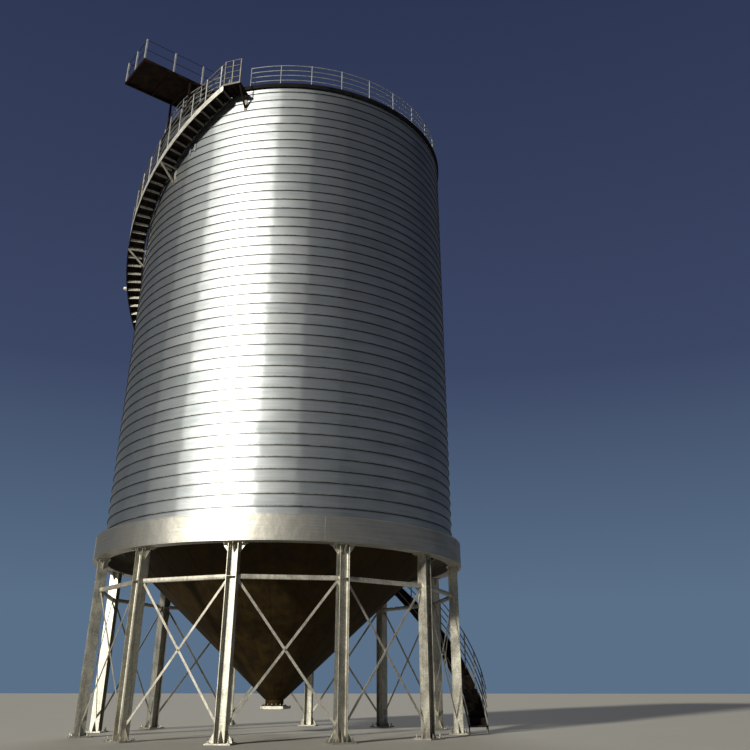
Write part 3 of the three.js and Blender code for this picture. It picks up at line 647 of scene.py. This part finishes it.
FLANGE_TOP = 0.83
COLLAR_BOLTS = 16
GATE_HALF, GATE_BACK = 0.39, 0.76

bm = bmesh.new()
neck = [
    (0.225, 0.80), (0.41, 0.80), (0.41, FLANGE_TOP), (0.306, FLANGE_TOP), (0.3, 0.836),
    (0.3, mouth - 0.0003), (0.225, mouth - 0.0003),
]
sweep(bm, neck, angles_between(0.0, 360.0, 5.0))
fitted(made_of("outlet_collar_ring", bm, hopper_rust), "hopper_sheet", "outlet_collar")

bm = bmesh.new()
bolt(bm, Matrix.Translation((0, -0.365, FLANGE_TOP)), 0.03, 0.012)
collar_bolts = set_round("outlet_bolts", bm, bolt_zinc, COLLAR_BOLTS, 0.0, 360 / COLLAR_BOLTS)
fitted(collar_bolts, "hopper_sheet")

bm = bmesh.new()
low, high = 0.7097, 0.7997
for side in (1, -1):
    web = sorted((side * GATE_HALF, side * 0.382))
    arm = sorted((side * GATE_HALF, side * 0.31))
    plate(bm, oblong(*web, -GATE_HALF, GATE_BACK), low, high)
    for z0, z1 in ((low, low + 0.01), (high - 0.01, high)):
        plate(bm, oblong(*arm, -GATE_HALF, GATE_BACK), z0, z1)
plate(bm, oblong(-0.375, 0.375, -0.385, 0.70), 0.75, 0.765)
plate(bm, oblong(-GATE_HALF, GATE_HALF, -GATE_HALF, -0.35), low, high)
plate(bm, oblong(-GATE_HALF, GATE_HALF, 0.72, GATE_BACK), low + 0.01, high - 0.01)
plate(bm, regular(0.018), -0.30, 0.30, EDGE_ON @ Matrix.Translation((-0.69, 0.7385, 0.0)))
soften(bm, 0.0015)
fitted(made_of("slide_gate_frame", bm, leg_zinc), "leg_steel", "slide_gate")


# Eave ring
# A pressed ring bolted round the top of the wall, which carries the roof's edge, its thin lip
# turned up over the ends of the roof panels. Painted near-black and gone dull.

def dull_paint(name, fresh, faded, wear):
    """Air-dried steel paint, chalked by the sun: fades in clouds 400 mm wide, with small worn
    spots some 25 mm across that show the zinc below."""
    finish, tree = new_finish(name)
    place = add(tree, "ShaderNodeTexCoord").outputs["Object"]
    clouds = add(tree, "ShaderNodeTexNoise", {"Vector": place, "Scale": 2.5, "Detail": 6.0})
    spots = add(tree, "ShaderNodeTexNoise", {"Vector": place, "Scale": 40.0, "Detail": 4.0})
    tone = add(tree, "ShaderNodeMapRange", {0: clouds, 1: 0.35, 2: 0.65})
    paint = add(tree, "ShaderNodeMix", {0: tone, 6: fresh, 7: faded}, data_type="RGBA")
    worn = add(tree, "ShaderNodeMapRange", {0: spots, 1: 0.66, 2: 0.72, 3: 0.0, 4: 0.6})
    colour = add(tree, "ShaderNodeMix", {0: worn, 6: paint, 7: wear}, data_type="RGBA")
    rough = add(tree, "ShaderNodeMapRange", {0: clouds, 1: 0.3, 2: 0.7, 3: 0.5, 4: 0.7})
    film = add(tree, "ShaderNodeBump", {"Height": spots, "Strength": 0.2, "Distance": 0.001})
    return surface(finish, colour, rough, film, Specular_IOR_Level=0.1)


eave_paint = dull_paint("eave_paint", fresh="0d0c0e", faded="19181a", wear="3a3937")

bm = bmesh.new()
band = [
    (5.95, 21.6303), (6.118, 21.6303), (6.13, 21.642), (6.13, 21.8), (6.1215, 21.8),
    (6.1215, 21.76), (5.95, 21.76),
]
sweep(bm, band, FULL_TURN)
fitted(made_of("eave_band", bm, eave_paint), "eave_steel", "eave_ring")


# Roof
# A shallow cone of 48 galvanised panels with standing seams, bolted to the eave ring, and a
# round filling hole in the middle that the flanged cap closes.

PANELS = 48
PANEL_TURN = 360 / PANELS
ROOF_EDGE, ROOF_FOOT, HOLE = 6.12, 21.7603, 0.43
ROOF_SLOPE = math.tan(math.radians(13.5))


def roof_top(radius):
    return 21.8063 + (ROOF_EDGE - radius) * ROOF_SLOPE


def turned_solid(bm, outline, sides=72, centre=Vector()):
    """A solid turned on an upright axis from an open outline, closed by a disc at both ends."""
    skin(bm, [
        [bm.verts.new(centre + spot(360 * k / sides, r, z)) for k in range(sides)]
        for r, z in outline
    ])


roof_zinc = weathered_zinc(
    "roof_zinc", bright="bcbfc0", dull="92959a", stain="6f6a60", metallic=0.85, gloss=(0.36, 0.5)
)

bm = bmesh.new()
panels = [
    (WALL_INSIDE, ROOF_FOOT), (ROOF_EDGE, ROOF_FOOT), (ROOF_EDGE, roof_top(ROOF_EDGE)),
    (HOLE, roof_top(HOLE)), (HOLE, roof_top(HOLE) - 0.048),
    (WALL_INSIDE, roof_top(WALL_INSIDE) - 0.048),
]
sweep(bm, panels, FULL_TURN)
fitted(made_of("roof_panels", bm, roof_zinc), "galvanised_sheet", "roof_cone", crease=20)

bm = bmesh.new()
ridge = [(r, roof_top(r) + h) for r, h in oblong(0.64, 6.10, -0.002, 0.026)]
plate(bm, ridge, -0.011, 0.011, EDGE_ON)
soften(bm, 0.005)
ridges = set_round("roof_seams", bm, roof_zinc, PANELS, PANEL_TURN / 2, PANEL_TURN)
fitted(ridges, "galvanised_sheet")

bm = bmesh.new()
lid = [
    (0.4297, 23.13), (0.4297, 23.2137), (0.55, 23.2137), (0.56, 23.2237), (0.56, 23.2737),
    (0.55, 23.2837),
]
turned_solid(bm, lid)
fitted(made_of("filling_cap", bm, roof_zinc), "galvanised_sheet", "roof_cap")


# Roof handrail
# Four rails of 36 mm tube on 32 posts that stand on foot plates near the roof's edge, open
# where the stair arrives. Bright galvanised tube.

def tube(bm, path, radius, sides=8):
    """A round tube along a line of points, closed at its ends."""
    rings = []
    for i, p in enumerate(path):
        run = (path[min(i + 1, len(path) - 1)] - path[max(i - 1, 0)]).normalized()
        side = run.cross(Vector((0, 0, 1)))
        side = side.normalized() if side.length > 0.01 else Vector((1, 0, 0))
        up = side.cross(run)
        ring = []
        for k in range(sides):
            t = 2 * math.pi * (k + 0.5) / sides
            ring.append(bm.verts.new(p + radius * (math.cos(t) * side + math.sin(t) * up)))
        rings.append(ring)
    skin(bm, rings)


tube_zinc = weathered_zinc(
    "tube_zinc", bright="aeb3b8", dull="8b9095", stain="6f6d66", metallic=0.6, gloss=(0.42, 0.56),
    stained=0.35,
)
post_zinc = weathered_zinc(
    "post_zinc", bright="d3d5d6", dull="afb1b2", stain="7d7b76", metallic=0.45, gloss=(0.4, 0.52),
    stained=0.3,
)
ROOF_RAIL_RADIUS = 5.97
ROOF_POSTS, POST_FIRST, POST_PITCH = 32, -7.05, 11.25

bm = bmesh.new()
stops = angles_between(POST_FIRST, POST_FIRST + (ROOF_POSTS - 1) * POST_PITCH, POST_PITCH / 4)
for z in (22.780, 22.545, 22.310, 22.075):
    tube(bm, [spot(a, ROOF_RAIL_RADIUS, z) for a in stops], 0.018)
fitted(made_of("roof_handrail", bm, tube_zinc), "rail_steel", *numbered("roof_rail", 2))

bm = bmesh.new()
foot = roof_top(ROOF_RAIL_RADIUS)
tube(bm, [Vector((0, -ROOF_RAIL_RADIUS, z)) for z in (foot, 22.800)], 0.0225, 12)
pad = oblong(-0.06, 0.06, -ROOF_RAIL_RADIUS - 0.06, -ROOF_RAIL_RADIUS + 0.06)
plate(bm, pad, foot - 0.012, foot + 0.022)
roof_posts = set_round("roof_rail_posts", bm, tube_zinc, ROOF_POSTS, POST_FIRST, POST_PITCH)
fitted(roof_posts, "rail_steel")


# Stair stringers
# Two channels rolled to the spiral on either side of the treads, joined end to end by bolted
# fishplates. Galvanised; the outer one faces the light and is the brightest line of the stair.

STAIR_HEAD, STAIR_HEAD_ANGLE = 21.5, -13.4
REST_LEVEL, REST_ANGLE = 6.1, -194.0
LOWER_ANGLE, FLOOR_ANGLE = -202.0, -263.29
UPPER_RISE, UPPER_TURN = 15.4 / 71, 2.58
LOWER_RISE, LOWER_TURN = 6.1 / 28, 2.27
UPPER_STOPS = angles_between(REST_ANGLE, STAIR_HEAD_ANGLE, UPPER_TURN)
LOWER_STOPS = angles_between(FLOOR_ANGLE, LOWER_ANGLE, LOWER_TURN)
UPPER_INNER, UPPER_OUTER = 6.13, 6.75
LOWER_INNER, LOWER_OUTER = 6.42, 7.05
STRINGER_FOOT, STRINGER_TOP, STRINGER_FLANGE = -0.24, 0.02, 0.04


def upper_line(angle):
    return STAIR_HEAD - UPPER_RISE * (STAIR_HEAD_ANGLE - angle) / UPPER_TURN


def lower_line(angle):
    return REST_LEVEL - LOWER_RISE * (LOWER_ANGLE - angle) / LOWER_TURN


def turned(angle):
    """The place of something that is swung round the axis by an angle in degrees."""
    return Matrix.Rotation(math.radians(angle), 4, "Z")


def channel_outline(web, flange, low, high, sheet=0.008):
    """A channel on its side: web and flange are the radii of its back and of its flanges' edges."""
    back = web + math.copysign(sheet, flange - web)
    return [
        (web, low), (flange, low), (flange, low + sheet), (back, low + sheet),
        (back, high - sheet), (flange, high - sheet), (flange, high), (web, high),
    ]


def rusted_and_shaded_zinc(name, dull, bright, grip=0.1):
    """Galvanised stair steel. Faces that look up or outward, where rain and sun reach, are clean
    zinc; the others are darkened to a near-black brown, partly rust and caked grain dust and
    partly painted shade, in blotches some 150 mm wide."""
    finish, tree = new_finish(name)
    place = add(tree, "ShaderNodeTexCoord").outputs["Object"]
    blotches = add(tree, "ShaderNodeTexNoise", {"Vector": place, "Scale": 6.5, "Detail": 6.0})
    tone = add(tree, "ShaderNodeMapRange", {0: blotches, 1: 0.38, 2: 0.62})
    clean = add(tree, "ShaderNodeMix", {0: tone, 6: dull, 7: bright}, data_type="RGBA")
    # Painted shade: faces turned down or inward take a near-black brown, for rust and dust and for
    # the shade they lie in.
    rust_and_shade_colour = add(tree, "ShaderNodeMix", {0: tone, 6: "120d0a", 7: "2c2119"}, data_type="RGBA")
    outward = add(
        tree, "ShaderNodeVectorMath", {0: place, 1: (1.0, 1.0, 0.0)}, operation="MULTIPLY"
    )
    outward = add(tree, "ShaderNodeVectorMath", {0: outward}, operation="NORMALIZE")
    open_side = add(tree, "ShaderNodeVectorMath", {0: outward, 1: (0.0, 0.0, 1.0)}, operation="ADD")
    facing = add(tree, "ShaderNodeNewGeometry").outputs["Normal"]
    facing = add(tree, "ShaderNodeVectorMath", {0: facing, 1: open_side}, operation="DOT_PRODUCT")
    rust_and_shade_mask = add(tree, "ShaderNodeMapRange", {0: facing, 1: 0.7, 2: 0.3})
    colour = add(tree, "ShaderNodeMix", {0: rust_and_shade_mask, 6: clean, 7: rust_and_shade_colour}, data_type="RGBA")
    rough = add(tree, "ShaderNodeMapRange", {0: rust_and_shade_mask, 1: 0.0, 2: 1.0, 3: 0.42, 4: 0.8})
    studs = add(tree, "ShaderNodeTexVoronoi", {"Vector": place, "Scale": 40.0})
    studs = add(tree, "ShaderNodeBump", {"Height": studs, "Strength": grip, "Distance": 0.003})
    return surface(finish, colour, rough, studs, Metallic=0.5)


# Their faces turned down or inward are darkened brown, partly rust and partly painted shade.
stringer_zinc = rusted_and_shaded_zinc("stringer_zinc", dull="cdcac0", bright="efece4")

bm = bmesh.new()
for web, side, stops, line in (
    (UPPER_INNER, 1, UPPER_STOPS, upper_line), (UPPER_OUTER, -1, UPPER_STOPS, upper_line),
    (LOWER_INNER, 1, LOWER_STOPS, lower_line), (LOWER_OUTER, -1, LOWER_STOPS, lower_line),
):
    flange = web + side * STRINGER_FLANGE
    sweep(bm, channel_outline(web, flange, STRINGER_FOOT, STRINGER_TOP), stops, line)
saw_off(bm, Vector(), Vector((0, 0, -1)))
flights = numbered("stair_flight", 6) + numbered("lower_flight", 2)
fitted(made_of("stair_stringers", bm, stringer_zinc), "stair_steel", *flights)

bm = bmesh.new()
for angle in (-41.78, -72.74, -103.7, -132.08, -163.04):
    joint = turned(angle) @ Matrix.Translation((0, 0, upper_line(angle) - 0.11))
    for radius in (6.128, 6.75):
        slope = -math.atan(UPPER_RISE / (math.radians(UPPER_TURN) * radius))
        place = joint @ Matrix.Rotation(slope, 4, "Y") @ FACING_OUT
        plate(bm, oblong(-0.13, 0.13, -0.08, 0.08), radius - 0.004, radius + 0.006, place)
fitted(made_of("stair_fishplates", bm, stringer_zinc), "stair_steel")


# Steps
# Each step is one sheet: a nosing folded down, the tread, and a riser folded up, with end plates
# bolted to the stringers and a clean strip behind the riser. Galvanised; darkened brown
# underneath, partly rust and partly painted shade.

tread_zinc = rusted_and_shaded_zinc("tread_zinc", dull="6b6860", bright="918e84", grip=0.4)
bracket_zinc = weathered_zinc(
    "bracket_zinc", bright="b3afa3", dull="8b877c", stain="5d5546", metallic=0.4, gloss=(0.45, 0.6)
)


def stair_steps(name, inner, outer, count, head, head_angle, rise, turn):
    """One folded step and its strip, repeated down a flight from the head."""
    half = (math.radians(turn) * inner - 0.012) / 2
    front, sheet, fold = -half - 0.024, 0.005, 0.04
    top, riser_top = head - rise, head - 0.006
    profile = [
        (front, top - fold), (front + sheet, top - fold), (front + sheet, top - sheet),
        (half - sheet, top - sheet), (half - sheet, top - fold), (half, top - fold),
        (half, riser_top), (half - sheet, riser_top), (half - sheet, top), (front, top),
    ]
    down = (count, head_angle - turn / 2, -turn, -rise)
    bm = bmesh.new()
    plate(bm, profile, inner + 0.008, outer - 0.008, FACING_OUT)
    for end in (inner + 0.008, outer - 0.014):
        cheek = oblong(-half * 0.9, half * 0.9, top - 0.075, top - 0.004)
        plate(bm, cheek, end, end + 0.006, FACING_OUT)
    fitted(set_round(name, bm, tread_zinc, *down), "stair_steel")
    bm = bmesh.new()
    strip = oblong(half + 0.0005, half + 0.0055, 0.05 - outer, -0.05 - inner)
    plate(bm, strip, top - fold, top + 0.06)
    fitted(set_round(name + "_lips", bm, bracket_zinc, *down), "stair_steel")


stair_steps(
    "upper_steps", UPPER_INNER, UPPER_OUTER, 70, STAIR_HEAD, STAIR_HEAD_ANGLE, UPPER_RISE,
    UPPER_TURN,
)
stair_steps(
    "lower_steps", LOWER_INNER, LOWER_OUTER, 27, REST_LEVEL, LOWER_ANGLE, LOWER_RISE, LOWER_TURN
)


# Stair handrail
# Four rails of 34 mm tube bent to the spiral, on square posts bolted to the outer stringer.
# Galvanised; the tube is given a darker zinc than the posts, which are light.

handled_zinc = weathered_zinc(
    "handled_zinc", bright="85837c", dull="605e58", stain="48433a", metallic=0.6, gloss=(0.42, 0.56)
)
RAIL_HEIGHTS, RAIL_TUBE = (1.08, 0.81, 0.54, 0.27), 0.017
UPPER_RAIL, LOWER_RAIL = 6.73, 7.03
POST_TOP = 1.085

bm = bmesh.new()
for rise in RAIL_HEIGHTS:
    tube(bm, [spot(a, UPPER_RAIL, upper_line(a) + rise) for a in UPPER_STOPS], RAIL_TUBE)
    tube(bm, [spot(a, LOWER_RAIL, lower_line(a) + rise) for a in LOWER_STOPS], RAIL_TUBE)
fitted(made_of("stair_handrail", bm, handled_zinc), "rail_steel")


def square_post(radius):
    return oblong(-0.02, 0.02, -radius - 0.02, -radius + 0.02)


def rail_posts(name, radius, count, line, first, pitch):
    """Square posts, one below the other down a flight."""
    bm = bmesh.new()
    plate(bm, square_post(radius), line(first) - 0.12, line(first) + POST_TOP)
    soften(bm, 0.003)
    rise = line(first - pitch) - line(first)
    fitted(set_round(name, bm, post_zinc, count, first, -pitch, rise), "rail_steel")


upper_first, lower_first = STAIR_HEAD_ANGLE - UPPER_TURN / 2, LOWER_ANGLE - LOWER_TURN / 2
rail_posts("upper_rail_posts", UPPER_RAIL, 35, upper_line, upper_first, 2 * UPPER_TURN)
rail_posts("lower_rail_posts", LOWER_RAIL, 9, lower_line, lower_first, 3 * LOWER_TURN)


# Knee brackets
# A level bar and a slanting strut of 60 mm square tube carry the stair from a plate on the
# bin wall, one bracket every 27 degrees. Galvanised, bolted to the wall through the plate.

BRACKETS, BRACKET_FIRST, BRACKET_PITCH = 6, -38.2, 27.0


def square_bar(bm, start, end, size):
    """A straight bar of square tube between two points."""
    run = (end - start).normalized()
    side = run.cross(Vector((0, 0, 1))).normalized()
    up = side.cross(run)
    place = Matrix((side, up, run)).transposed().to_4x4()
    place.translation = start
    h = size / 2
    plate(bm, oblong(-h, h, -h, h), 0.0, (end - start).length, place)


bm = bmesh.new()
top = upper_line(BRACKET_FIRST) - 0.26
plate(bm, oblong(-0.03, 0.03, -6.74, -6.06), top, top + 0.06)
square_bar(bm, Vector((0, -6.71, top + 0.01)), Vector((0, -6.095, top - 0.62)), 0.06)
plate(bm, oblong(-0.06, 0.06, top - 0.68, top + 0.07), WALL_RADIUS, 6.08, FACING_OUT)
soften(bm, 0.004)
for z in (top - 0.64, top + 0.03):
    for x in (-0.045, 0.045):
        bolt(bm, FACING_OUT @ Matrix.Translation((x, z, 6.08)), 0.024, 0.01)
bracket_drop = -UPPER_RISE * BRACKET_PITCH / UPPER_TURN
brackets = set_round(
    "stair_brackets", bm, bracket_zinc, BRACKETS, BRACKET_FIRST, -BRACKET_PITCH, bracket_drop
)
fitted(brackets, "stair_steel")


# Landings
# The top landing is a frame of channels with a floor plate, strutted to the wall; the rest
# landing at the wall's foot sits on the ring beam. Galvanised, darkened brown beneath like the
# treads, partly rust and partly painted shade.

FLOOR_PLATE = 0.008


def landing(bm, first, last, inner, outer, level, depth):
    """Edge channels, joists and a floor plate between two angles."""
    stops = angles_between(first, last, 1.0)
    under = level - FLOOR_PLATE
    sweep(bm, [(inner, under), (outer, under), (outer, level), (inner, level)], stops)
    for web, flange in ((inner, inner + 0.06), (outer, outer - 0.06)):
        sweep(bm, channel_outline(web, flange, level - depth, under), stops)
    half = math.degrees(0.004 / outer)
    joist = oblong(inner + 0.008, outer - 0.008, level - depth, under)
    for k in range(4):
        a = first + half + (last - first - 2 * half) * k / 3
        sweep(bm, joist, [a - half, a + half])


def landing_rail(bm, first, last, radius, level, depth):
    stops = angles_between(first, last, 1.0)
    for height in RAIL_HEIGHTS:
        tube(bm, [spot(a, radius, level + height) for a in stops], RAIL_TUBE)
    for a in (first + 0.25, (first + last) / 2, last - 0.25):
        plate(bm, square_post(radius), level - depth / 2, level + POST_TOP, turned(a))


TOP_FIRST, TOP_LAST, TOP_DEPTH = -13.35, -7.5, 0.08
REST_FIRST, REST_LAST, REST_DEPTH = LOWER_ANGLE + 0.01, REST_ANGLE - 0.01, 0.12
STRUT = -7.9

bm = bmesh.new()
landing(bm, TOP_FIRST, TOP_LAST, 6.07, 6.80, STAIR_HEAD, TOP_DEPTH)
square_bar(bm, spot(STRUT, 6.72, 21.44), spot(STRUT, 6.10, 20.82), 0.06)
plate(bm, oblong(-0.055, 0.055, 20.74, 21.48), 6.048, 6.09, turned(STRUT) @ FACING_OUT)
fitted(made_of("top_landing_frame", bm, tread_zinc), "stair_steel", "top_landing")

bm = bmesh.new()
landing(bm, REST_FIRST, REST_LAST, 6.09, LOWER_OUTER, REST_LEVEL, REST_DEPTH)
seat = oblong(6.09, 6.33, WALL_FOOT, 5.98)
sweep(bm, seat, angles_between(LOWER_ANGLE + 0.1, REST_ANGLE - 0.1, 1.0))
fitted(made_of("rest_landing_frame", bm, tread_zinc), "stair_steel", "rest_landing")

bm = bmesh.new()
landing_rail(bm, TOP_FIRST, TOP_LAST, 6.77, STAIR_HEAD, TOP_DEPTH)
landing_rail(bm, REST_FIRST, REST_LAST, 7.01, REST_LEVEL, REST_DEPTH)
fitted(made_of("landing_handrails", bm, handled_zinc), "rail_steel")


# Walkway
# Two side channels with cross-beams and a floor plate, from the filling cap out past the eave.
# Mild steel that was never coated; the underside is rusted red-brown.

WALK_TURN = turned(-44.4)
WALK_LOW, WALK_HIGH = 23.28, 23.40
WALK_END, WALK_BACK, WALK_HALF = 8.0, -0.7, 0.9
RAIL_END, RAIL_SIDE = WALK_END - 0.035, WALK_HALF - 0.035

deck_rust = rusted_sheet("deck_rust", deep="0a0806", warm="38251a", dust="332d1f")

bm = bmesh.new()
for side in (1, -1):
    edge = channel_outline(side * WALK_HALF, side * (WALK_HALF - 0.06), WALK_LOW, WALK_HIGH)
    plate(bm, edge, WALK_BACK, WALK_END, WALK_TURN @ FACING_OUT)
floor = oblong(-0.89, 0.89, -WALK_END, -WALK_BACK)
plate(bm, floor, WALK_HIGH - 0.03, WALK_HIGH - 0.008, WALK_TURN)
for r in [WALK_BACK + 0.004] + [-0.03 + 7.966 * i / 7 for i in range(8)]:
    beam = oblong(-0.892, 0.892, -r - 0.06, -r)
    plate(bm, beam, WALK_LOW + 0.004, WALK_HIGH - 0.012, WALK_TURN)
soften(bm, 0.002)
fitted(made_of("walkway_frame", bm, deck_rust), "deck_steel", "walkway_deck")

bm = bmesh.new()
for height in (0.95, 0.47):
    back_left, back_right, far_left, far_right = (
        WALK_TURN @ Vector((x, y, WALK_HIGH + height))
        for y in (-0.76, -RAIL_END) for x in (-RAIL_SIDE, RAIL_SIDE)
    )
    for ends in ((back_left, far_left), (back_right, far_right), (far_left, far_right)):
        tube(bm, ends, 0.01)
fitted(made_of("walkway_handrail", bm, deck_rust), "rail_steel", "walkway_rail")

bm = bmesh.new()
stands = [(0.0, RAIL_END)]
for k in range(6):
    stands += [(-RAIL_SIDE, RAIL_END - 1.23 * k), (RAIL_SIDE, RAIL_END - 1.23 * k)]
for x, r in stands:
    post = oblong(x - 0.03, x + 0.03, -r - 0.03, -r + 0.03)
    plate(bm, post, WALK_HIGH, WALK_HIGH + 0.97, WALK_TURN)
soften(bm, 0.003)
fitted(made_of("walkway_posts", bm, post_zinc), "rail_steel", "walkway_rail")

bm = bmesh.new()
for x, right in ((-0.865, 0.06), (0.865, 0.035)):
    foot = roof_top(math.hypot(x, 5.985)) - 0.004
    plate(bm, oblong(x - 0.035, x + 0.035, -6.02, -5.95), foot, WALK_LOW, WALK_TURN)
    plate(bm, oblong(x - 0.035, x + right, -6.03, -5.92), foot, foot + 0.03, WALK_TURN)
plate(bm, oblong(-0.898, 0.898, -6.018, -5.952), 23.18, 23.2797, WALK_TURN)
soften(bm, 0.004)
fitted(made_of("walkway_trestle_frame", bm, deck_rust), "stair_steel", "walkway_trestle")


# Stair lamp and wall lugs
# A bulkhead lamp with a white bowl on an arm from the outer stringer, and two short lifting
# lugs welded to the wall just inside the stair.

def opal_glass():
    """Opal glass bowl, dusty: white and faintly patchy, half matt."""
    finish, tree = new_finish("opal_glass")
    place = add(tree, "ShaderNodeTexCoord").outputs["Object"]
    dust = add(tree, "ShaderNodeTexNoise", {"Vector": place, "Scale": 25.0, "Detail": 4.0})
    colour = add(tree, "ShaderNodeMix", {0: dust, 6: "f4f4f0", 7: "d9d8d0"}, data_type="RGBA")
    plug(tree.nodes["Principled BSDF"], {"Base Color": colour, "Roughness": 0.3})
    return finish


LAMP_ANGLE = -79.0
lamp = spot(LAMP_ANGLE, 6.83, upper_line(LAMP_ANGLE) - 0.02)

bm = bmesh.new()
bowl = [(0.02, -0.07), (0.06, -0.062), (0.085, -0.04), (0.095, -0.01), (0.095, 0.03), (0.05, 0.045)]
turned_solid(bm, bowl, sides=16, centre=lamp)
fitted(made_of("stair_lamp_bowl", bm, opal_glass()), "rail_steel")

bm = bmesh.new()
tube(bm, [spot(LAMP_ANGLE, UPPER_RAIL, lamp.z + 0.05), lamp + Vector((0, 0, 0.05))], 0.014)
for angle, low, high in ((-30.4, 19.44, 19.72), (-28.0, 19.51, 19.82)):
    plate(bm, oblong(-0.04, 0.04, low, high), 6.045, 6.10, turned(angle) @ FACING_OUT)
soften(bm, 0.003)
fitted(made_of("lamp_arm_and_lugs", bm, tube_zinc), "rail_steel")


# Floor, light and camera
# A plain pale floor under a plain sky, a soft key light from the left front, a weak fill light
# from behind, and a camera on the ground at the right front, turned upward.

floor_finish, tree = new_finish("pale_floor")
place = add(tree, "ShaderNodeTexCoord").outputs["Object"]
mottle = add(tree, "ShaderNodeTexNoise", {"Vector": place, "Scale": 0.4, "Detail": 5.0})
colour = add(tree, "ShaderNodeMix", {0: mottle, 6: "b9b6ad", 7: "c2bfb6"}, data_type="RGBA")
plug(tree.nodes["Principled BSDF"], {"Base Color": colour, "Roughness": 0.9})
bm = bmesh.new()
bmesh.ops.create_grid(bm, x_segments=1, y_segments=1, size=260.0)
floor = made_of("pale_floor", bm, floor_finish)
floor.location.z = -0.002


def far_light(name, strength, width, angle, height):
    """A distant light. Its width, its angle round the silo and its height are in degrees."""
    light = bpy.data.lights.new(name, "SUN")
    light.energy = strength
    light.angle = math.radians(width)
    holder = bpy.data.objects.new(name, light)
    towards = spot(angle, 1.0, math.tan(math.radians(height)))
    holder.rotation_euler = towards.to_track_quat("Z", "Y").to_euler()
    bpy.context.scene.collection.objects.link(holder)
    return light


far_light("key", strength=3.5, width=5, angle=-26.5, height=18).color = (1.0, 0.955, 0.83)
far_light("fill", strength=0.7, width=25, angle=193, height=30)

world = bpy.data.worlds.new("sky")
world.use_nodes = True
bpy.context.scene.world = world
tree = world.node_tree
look = add(tree, "ShaderNodeTexCoord").outputs["Generated"]
upward = add(tree, "ShaderNodeSeparateXYZ", {0: look}).outputs["Z"]
sky = add(tree, "ShaderNodeValToRGB", {0: upward})
for place, code in ((0.09, "5a7088"), (0.35, "3c4765"), (0.72, "2d3652")):
    sky.color_ramp.elements.new(place).color = linear(code)
for spare in (sky.color_ramp.elements[-1], sky.color_ramp.elements[0]):
    sky.color_ramp.elements.remove(spare)
backdrop = add(tree, "ShaderNodeLightPath").outputs["Is Camera Ray"]
strength = add(tree, "ShaderNodeMapRange", {0: backdrop, 3: 0.37, 4: 1.0})
plug(tree.nodes["Background"], {"Color": sky, "Strength": strength})

lens = bpy.data.cameras.new("camera")
lens.lens = 38.588
lens.sensor_width = 36.0
lens.shift_y = -0.1
lens.clip_end = 1000.0
camera = bpy.data.objects.new("camera", lens)
camera.location = (6.683, -29.203, 1.298)
camera.rotation_euler = (math.radians(90 + 25.828), 0.0, math.radians(6.507))
bpy.context.scene.collection.objects.link(camera)
bpy.context.scene.camera = camera
bpy.context.scene.view_settings.view_transform = "Standard"
